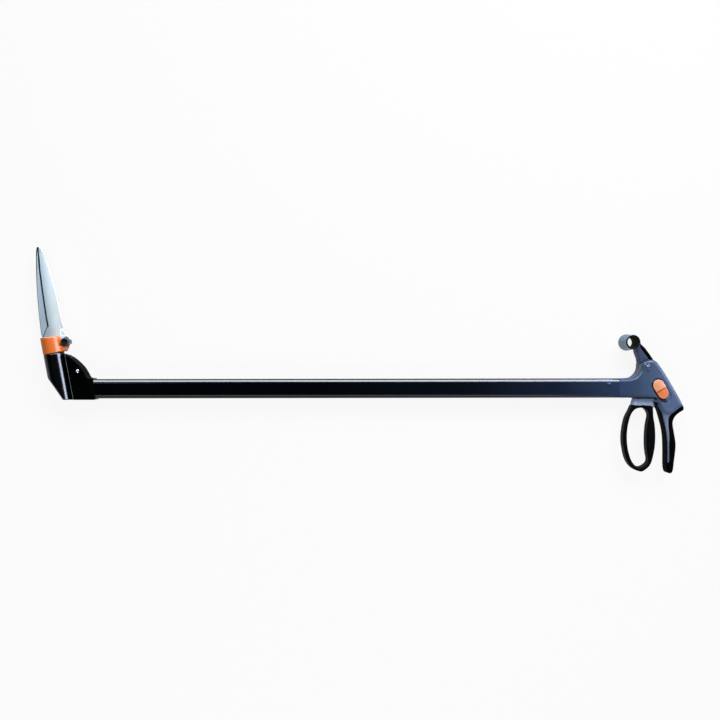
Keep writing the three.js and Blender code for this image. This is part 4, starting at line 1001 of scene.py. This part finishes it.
def make_tube():
    """An open tube of rounded section, with a duller finish on its two flat faces."""
    wall, corner = 1.5, 7.2
    outer = [(TUBE_END, 0.35), (TUBE_END + 0.35, 0)]
    outer += [(x, 0) for x in np.linspace(TUBE_END + 8, JOINT_X - 8, 60)]
    outer += [(JOINT_X - 0.2, 0), (JOINT_X - 0.05, 0.15)]
    inner = [(x, wall) for x, _ in reversed(outer)]
    rings = []
    for x, inset in outer + inner:
        section = rounded_rect(TUBE_HEIGHT - 2 * inset, TUBE_WIDTH - 2 * inset, corner - inset, 14)
        rings.append([(x, y, z) for y, z in section])
    count = len(rings[0])
    faces = []
    for i in range(len(rings)):
        j = (i + 1) % len(rings)
        for k in range(count):
            q = (k + 1) % count
            faces.append((i * count + k, j * count + k, j * count + q, i * count + q))
    tube = make("main_tube", to_tool(np.concatenate(rings)), faces, [tube_navy, tube_flat])
    tube.data.set_sharp_from_angle(angle=math.radians(35))
    for polygon in tube.data.polygons:
        polygon.material_index = int(abs(polygon.normal.z) > 0.999)
    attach(tube, "frame")
    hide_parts("shaft_tube")


# Head

def rib(t, s, z, ends, gap=0.0):
    """A fixing rib on the barrel, with a gap round it."""
    reach, half = 27, 3
    sides = np.maximum(t - (reach + gap), -t)
    return np.maximum(sides, np.maximum(np.abs(z) - (half + gap), slab(s, *ends) - gap))


def make_bracket():
    """The shells that hold the barrel, the crank and the tube's end."""
    back = [head_point(t, s) for t, s in (
        (16, 54.5), (19, 53), (24.5, 49), (30, 44), (34.5, 38.5), (38.5, 33), (41.5, 28.2), (43.5, 24),
        (45.3, 19), (46.5, 15), (47.6, 11.5), (49.2, 8.6))]
    start, floor, half = TUBE_END + 3.5, -17.3, 14.5
    outline = back + [(start, 16.8), (start + 3.5, 16.8), (start + 5.5, 2), (start + 7, floor),
                      (HEAD_X + 8.2, floor), (HEAD_X + 4, 0)]
    g = Grid((-931, -17.4, -14.6), (-876, 57, 14.6), 0.45)
    solid = prism(g.polygon(soft_corners(outline, 1.6)), g.z, -half, half, 1.2)
    tube_section = g.section(rounded_rect(TUBE_HEIGHT + 0.5, TUBE_WIDTH + 0.5, 7.3, 10))
    solid = cut(solid, np.maximum(tube_section, TUBE_END - 0.3 - g.x))
    t, s = turned(g.x - HEAD_X, g.y, -LEAN)
    solid = cut(solid, np.maximum(t - LEDGE, LEDGE_LEVEL - np.abs(g.z)), 0.7)
    solid = np.maximum(solid, (np.abs(g.z) - 12.9 - 0.55 * np.maximum(t - LEDGE, 0)) * 0.876)
    solid = cut(solid, np.hypot(t, g.z) - (BARREL_RADIUS + 0.2), 0.3)
    solid = np.maximum(solid, 0.5 - t)
    for ends in RIBS:
        solid = cut(solid, rib(t, s, g.z, ends, 0.3))
    room = 6.9
    pocket = [(HEAD_X + 8.2, -5.1), (-886.2, -5.1), (-886.2, 5.1), (TUBE_END - 3, 5.1),
              (CRANK[0] + 5.4, CRANK[1] - 1), (CRANK[0], CRANK[1] + 5.4),
              head_point(BARREL_RADIUS, GROOVE + PLUNGE + 7)]
    solid = cut(solid, prism(g.polygon(pocket), g.z, -room, room))
    crank = g.round(CRANK)
    solid = cut(solid, np.maximum(crank - 5.9, np.abs(g.z) - room))
    solid = cut(solid, crank - 2.5)
    solid = join(solid, np.maximum(prism(crank - 5.2, g.z, 10, 15.0, 0.4), 2.5 - crank), 1.2)
    screws = [(head_point(*place), -14.0) for place in RIB_SCREWS]
    for centre, outer in screws:
        solid = screw_hole(g, solid, centre, outer + 2.2, 12.7)

    # Painted highlight on the shells' faces along the ledge edge.
    def paint_shell_highlight(p):
        ledge = turned(p[:, 0] - HEAD_X, p[:, 1], -LEAN)[0] - LEDGE
        return ((np.abs(ledge) < 0.85) & (np.abs(p[:, 2]) > LEDGE_LEVEL + 0.8)).astype(int)

    for side, part in HALVES:
        piece(f"shell_{side}", "frame", f"bracket_{side}", [shell_black, shell_edge_highlight], g,
              part(g, solid), paint=paint_shell_highlight)
    rear_screws("shell_screw", "frame", "bracket_screw", screws, 12.2)
    screw_piece("crank_screw_head", "frame", "crank_screw", steel, CRANK, (2.6, 14.8, 17.0), 1,
                (2.2, -14.4, 15), drive="slot")


def make_barrel():
    """The barrel with its slanted end, two ribs, the spigot for the collar, the bore and the window."""
    g = Grid((-17, -24, -17), (28, 62, 17), 0.5)
    r = np.hypot(g.x, g.z)
    solid = prism(r - BARREL_RADIUS, g.y, -60, 56.4, 1.0)
    a, b = (-16.73, 21.98), (0.98, -17.38)
    slant = ((g.x - a[0]) * (a[1] - b[1]) + (g.y - a[1]) * (b[0] - a[0])) / math.dist(a, b)
    solid = cut(solid, slant - 0.0185 * g.z ** 2, 1.2)
    for ends in RIBS:
        solid = np.minimum(solid, rib(g.x, g.y, g.z, ends))
    solid = np.minimum(solid, np.maximum(r - 11.6, np.maximum(g.y - 60.2, 50 - g.y)))
    solid = np.minimum(solid, prism(r - 13.6, g.y, 59.6, 61.2, 0.3))
    solid = cut(solid, np.maximum(r - 8.8, 9 - g.y), 0.6)
    level = g.x * math.sin(LEAN) + g.y * math.cos(LEAN)
    solid = cut(solid, level + 17.3, 0.8)
    window = np.maximum(np.maximum(-g.x, np.abs(g.z) - 7.1), np.abs(g.y - CRANK_PLACE[1]) - PLUNGE / 2 - 7.5)
    solid = cut(solid, window)
    for place in RIB_SCREWS:
        solid = cut(solid, g.round(place) - 1.85)
    piece("barrel", "frame", "head_barrel", [dark_plastic], g, solid, head_to_tool)
    g = Grid((-16, 56, -16), (16, 58, 16), 0.3)
    r = np.hypot(g.x, g.z)
    ring = cut(prism(r - 16, g.y, 56.55, 57.35, 0.2), r - 12)
    piece("wear_ring", "frame", "swivel_ring", [knob_black], g, ring, head_to_tool)


def make_collar():
    """The collar's halves, with lugs for the blades' bolt and a slot for the blades."""
    g = Grid((-17, 57.3, -17), (34, 84, 17), 0.45)
    low, high, drum_radius = 57.5, 83.4, 16.6
    lug_half, slot_half = 9, 3.05
    r = np.hypot(g.x, g.z)
    rise = np.clip((g.y - low) / (high - low), 0, 1) * np.where(g.x < 0, -0.12, -0.04) * g.x
    drum = prism(r - drum_radius, g.y - rise, low, high, 1.4)
    lug = soft_corners([(0, 58.3), (18.6, 58.3), (24, 62.7), (24, 66.6), (0, 66.6)], 2.0)
    rear = capsule((0, BOLT[1]), (22.0, BOLT[1]), 5.8)
    solid = join(drum, prism(g.polygon(lug), g.z, -lug_half, lug_half, 1.2), 1.5)
    solid = join(solid, prism(g.polygon(rear), g.z, -lug_half, 0, 1.2), 1.5)
    blade_slot = np.maximum(np.maximum(-13.6 - g.x, 61.7 - g.y), np.abs(g.z) - slot_half)
    solid = cut(solid, blade_slot, 0.2)
    bolt = g.round(BOLT)
    solid = cut(solid, np.maximum(bolt - 7.7, slot_half - g.z), 0.8)
    solid = cut(solid, np.maximum(np.abs(g.x) - 4.4, np.abs(g.z - 3.6) - 3.6))
    solid = cut(solid, np.maximum(r - 12.1, g.y - 61))
    solid = cut(solid, np.maximum(r - 14.1, np.abs(g.y - 60.4) - 1.3))
    solid = cut(solid, bolt - 4.2)
    for centre, outer in COLLAR_SCREWS:
        solid = screw_hole(g, solid, centre, outer + 2.15, 7.6, 0.45, 0.3)
    for side, part in HALVES:
        piece(f"collar_half_{side}", "head", f"collar_{side}", [orange], g, part(g, solid),
              head_to_tool)
    rear_screws("collar_screw_head", "head", "collar_screw", COLLAR_SCREWS, 7.4, 1.8, head_to_tool)


def make_moving_blade():
    """The front blade: ground to an edge along its left side, with a tail in the collar."""
    g = Grid((-15.2, 62, 0), (31.5, 230.6, 2.9), 0.32)
    solid = prism(g.polygon(MOVING), g.z, BLADE_INNER, BLADE_OUTER)
    bevel = (g.z - (0.6 + g.line(GROUND_EDGE) * 0.9)) * 0.74
    solid = np.maximum(solid, np.where(g.y > 84, bevel, -1e3))
    heel = np.maximum(np.maximum(17.2 + (g.y - 84) * 0.08 - g.x, 82.5 - g.y), g.y - HEEL_TOP)
    solid = cut(solid, np.maximum(heel, 2.3 - g.z))
    solid = cut(solid, g.round(BOLT) - BLADE_BORE)
    solid = cut(solid, g.polygon(capsule((-0.7, PIN_LEVEL), (0.7, PIN_LEVEL), 2.5)))

    def paint_moving(p):
        x, y, z = p[:, 0], p[:, 1], p[:, 2]
        out = np.zeros(len(p), int)
        # Painted shade along the ground edge and round the bolt under the knob; the unground heel is its own
        # colour.
        edge = line_distance(x, y, GROUND_EDGE) < np.where(y > 100, 3.3, 1.8)
        out[edge & (z > 0.3) & (y > 86)] = 1
        out[(x > 17.0 + (y - 84) * 0.08) & (y < HEEL_TOP)] = 2
        out[(np.hypot(x - BOLT[0], y - BOLT[1]) < 8.0) & (z > 0.3)] = 1
        return out

    piece("blade_front", "moving_blade", "blade_moving", [blade_front, edge_painted_shade, blade_raw],
          g, solid, head_to_tool, paint_moving)


def make_fixed_blade():
    """The rear blade, ground along its left side from behind."""
    g = Grid((-15.2, 62, -2.9), (31.5, 230, 0), 0.32)
    solid = prism(g.polygon(FIXED), g.z, -BLADE_OUTER, -BLADE_INNER)
    bevel = (g.z + BLADE_INNER - np.minimum((g.line(FIXED_BACK) - 1.1) * 0.55, 0)) * 0.88
    solid = np.maximum(solid, np.where(g.y > 88, bevel, -1e3))
    solid = cut(solid, g.round(BOLT) - BLADE_BORE)
    solid = cut(solid, g.round(COLLAR_SCREWS[0][0]) - 1.8)

    def paint_fixed(p):
        x, y = p[:, 0], p[:, 1]
        # Painted shade along the rear blade's back edge.
        width = np.interp(y, [86, 140, 190, 230], [0.5, 0.8, 1.5, 1.8])
        return ((line_distance(x, y, FIXED_BACK) < width) & (y > 86)).astype(int)

    piece("blade_back", "head", "blade_fixed", [blade_rear, edge_painted_shade], g, solid, head_to_tool,
          paint_fixed)


def make_knob():
    """The ribbed knob in front, hollow at its face."""
    g = grid_round(BOLT, 7.4, 4.2, 13.2, 0.3)
    r = g.round(BOLT)
    angle = np.arctan2(g.y - BOLT[1], g.x - BOLT[0])
    flare = np.clip((g.z - 6.2) / 6.0, 0, 1)
    foot, narrowing, rib_height, rib_count = 7.1, 1.7, 0.13, 30
    ribbed = foot - narrowing * flare * flare + rib_height * np.cos(angle * rib_count)
    solid = prism((r - ribbed) * 0.96, g.z, 4.25, 13.0, 0.5)
    solid = cut(solid, np.maximum(r - 3.9, 12.5 + 0.02 * r ** 2 - g.z), 0.4)
    solid = cut(solid, np.maximum(r - 4.1, g.z - 12.0))

    def paint_knob(p):
        off = np.hypot(p[:, 0] - BOLT[0], p[:, 1] - BOLT[1])
        return ((off > 5.2) & (p[:, 2] < 12.7)).astype(int)

    piece("pivot_knob", "head", "pivot_nut", [knob_black, knob_side], g, solid,
          head_to_tool, paint_knob)


def make_bolt():
    """The blades' bolt, its six-sided head behind."""
    g = grid_round(BOLT, 6.8, -12.6, 11.2, 0.35)
    r = g.round(BOLT)
    u, v = np.abs(g.x - BOLT[0]), np.abs(g.y - BOLT[1])
    six_sides = np.maximum(u, u * 0.5 + v * math.sqrt(0.75)) - 4.7
    head = prism(np.maximum(six_sides, r - 5.2), g.z, -11.8, -9.3, 0.3)
    head = cut(head, np.maximum(r - 2.8, g.z + 11.3), 0.4)
    shank = np.maximum(r - 3.9, np.maximum(-10.3 - g.z, g.z - 11.0))
    piece("pivot_bolt_hex", "head", "pivot_bolt", [blued], g, np.minimum(head, shank), head_to_tool)


# Inner CAD nodes, which keep their shapes

INNER = [
    (steel, "pivot_washer link_pin clevis_pin_head clevis_pin_handle pull_rod return_spring lever_pin"),
    (zinc, "bell_crank rod_clevis_head rod_clevis_handle lock_bolt"),
    (brass_zinc, "rod_collar"),
    (nylon, "plunger rod_guide_1 rod_guide_2 rod_guide_3"),
]


def dress_inner():
    for material, names in INNER:
        for name in names.split():
            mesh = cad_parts[name].data
            mesh.materials.clear()
            mesh.materials.append(material)
            mesh.polygons.foreach_set("use_smooth", np.ones(len(mesh.polygons), bool))
            mesh.set_sharp_from_angle(angle=math.radians(32))


# Floor, world, lights and camera, in metres

FLOOR_SIZE = 14.0
FLOOR_SHOW = 0.9
CARD_TINT = (0.8, 0.9, 1.0)
STRIPE_TINT = (0.7, 0.78, 1.0)


def make_floor():
    """A pale floor that keeps the shadow, and is nearly white to the camera and in reflections."""
    n = Surface("pale_floor", 0.0)
    n.feed(n.shader.inputs["Base Color"], (0.8, 0.8, 0.8, 1))
    n.feed(n.shader.inputs["Roughness"], n.range(n.noise(6, 3, 0.5), 0.8, 0.9))
    path = n.add("ShaderNodeLightPath").outputs
    seen = n.math("MAXIMUM", path["Is Camera Ray"], path["Is Glossy Ray"])
    seen = n.math("MAXIMUM", seen, path["Is Transmission Ray"])
    white = n.add("ShaderNodeEmission", Strength=1.0)
    mix = n.add("ShaderNodeMixShader", Fac=n.math("MULTIPLY", seen, FLOOR_SHOW))
    n.feed(mix.inputs[1], n.shader.outputs[0])
    n.feed(mix.inputs[2], white.outputs[0])
    n.feed(n.tree.nodes["Material Output"].inputs["Surface"], mix.outputs[0])
    level = -0.0004
    corners = [(x * FLOOR_SIZE, y * FLOOR_SIZE, level) for x, y in ((-1, -1), (1, -1), (1, 1), (-1, 1))]
    floor = make("floor", corners, [(0, 1, 2, 3)], [n.material], smooth=False)


def make_world():
    """A studio: white round the horizon, dimmer overhead and, above the horizon, to the left and below."""
    world = bpy.data.worlds.new("studio")
    bpy.context.scene.world = world
    n = Nodes(world)
    x, y, z = (n.along(axis, "Generated") for axis in ((1, 0, 0), (0, 1, 0), (0, 0, 1)))

    def eased(value, first, last, low, high):
        return n.range(value, first, last, low, high, "SMOOTHSTEP")

    overhead = eased(z, 1.0, 0.03, 0.12, 0.6)
    sides = n.math("MULTIPLY", eased(y, 0.3, 1.0, -0.6, 0.3), eased(x, 0.15, 1.0, -0.7, 0.1))
    mix = n.add("ShaderNodeMix", Factor=eased(z, 0.0, 1.0, 0.12, 0.3), A=1.0, B=sides)
    light = n.tree.nodes["Background"]
    light.inputs["Color"].default_value = (1, 1, 1, 1)
    n.feed(light.inputs["Strength"], n.math("MULTIPLY", overhead, mix.outputs["Result"]))


def area(name, place, target, size, radiance, color=(1, 1, 1), gloss_only=False):
    data = bpy.data.lights.new(name, "AREA")
    data.shape = "RECTANGLE"
    data.size, data.size_y = size
    data.energy = radiance * math.pi * size[0] * size[1]
    data.color = color
    obj = bpy.data.objects.new(name, data)
    bpy.context.scene.collection.objects.link(obj)
    obj.location = place
    obj.rotation_mode = "QUATERNION"
    obj.rotation_quaternion = (Vector(target) - Vector(place)).to_track_quat("-Z", "Y")
    if gloss_only:
        obj.visible_diffuse = False


def make_lights():
    area("top_card", (-0.45, 1.02, 0.5), (-0.45, 0.0, 0.2), (2.4, 0.92), 30.0, CARD_TINT, gloss_only=True)
    area("right_card", (1.0, 0.44, 0.85), (-0.9, 0.05, 0.02), (0.5, 1.2), 40.0, STRIPE_TINT, gloss_only=True)
    area("soft_key", (0.1, 1.25, 1.25), (-0.5, 0.0, 0.0), (1.8, 0.8), 6.8)
    area("soft_fill", (-0.6, -1.3, 1.2), (-0.45, 0.0, 0.0), (1.8, 0.8), 3.0)
    area("blade_box", (-1.45, 0.5, 1.5), (-0.95, 0.15, 0.0), (0.4, 0.7), 1.5)


def make_camera():
    """A camera over the tool whose view is view_width wide at the mid-plane."""
    distance, view_width = 1.5, 1.152
    data = bpy.data.cameras.new("photo_camera")
    data.sensor_width = 36
    data.lens = data.sensor_width * distance / view_width
    data.clip_start, data.clip_end = 0.05, 30
    camera = bpy.data.objects.new("photo_camera", data)
    bpy.context.scene.collection.objects.link(camera)
    camera.location = (-0.456, 0.0453, MID * MM + distance)
    camera.rotation_euler = (0, 0, -0.0015)
    bpy.context.scene.camera = camera
    bpy.context.scene.view_settings.view_transform = "Standard"


make_camera()
make_floor()
make_world()
make_lights()
make_housing()
make_grip()
make_hanger()
make_bosses()
make_lever()
make_loop()
make_lock()
make_tube()
make_bracket()
make_barrel()
make_collar()
make_moving_blade()
make_fixed_blade()
make_knob()
make_bolt()
dress_inner()

bpy.context.view_layer.update()
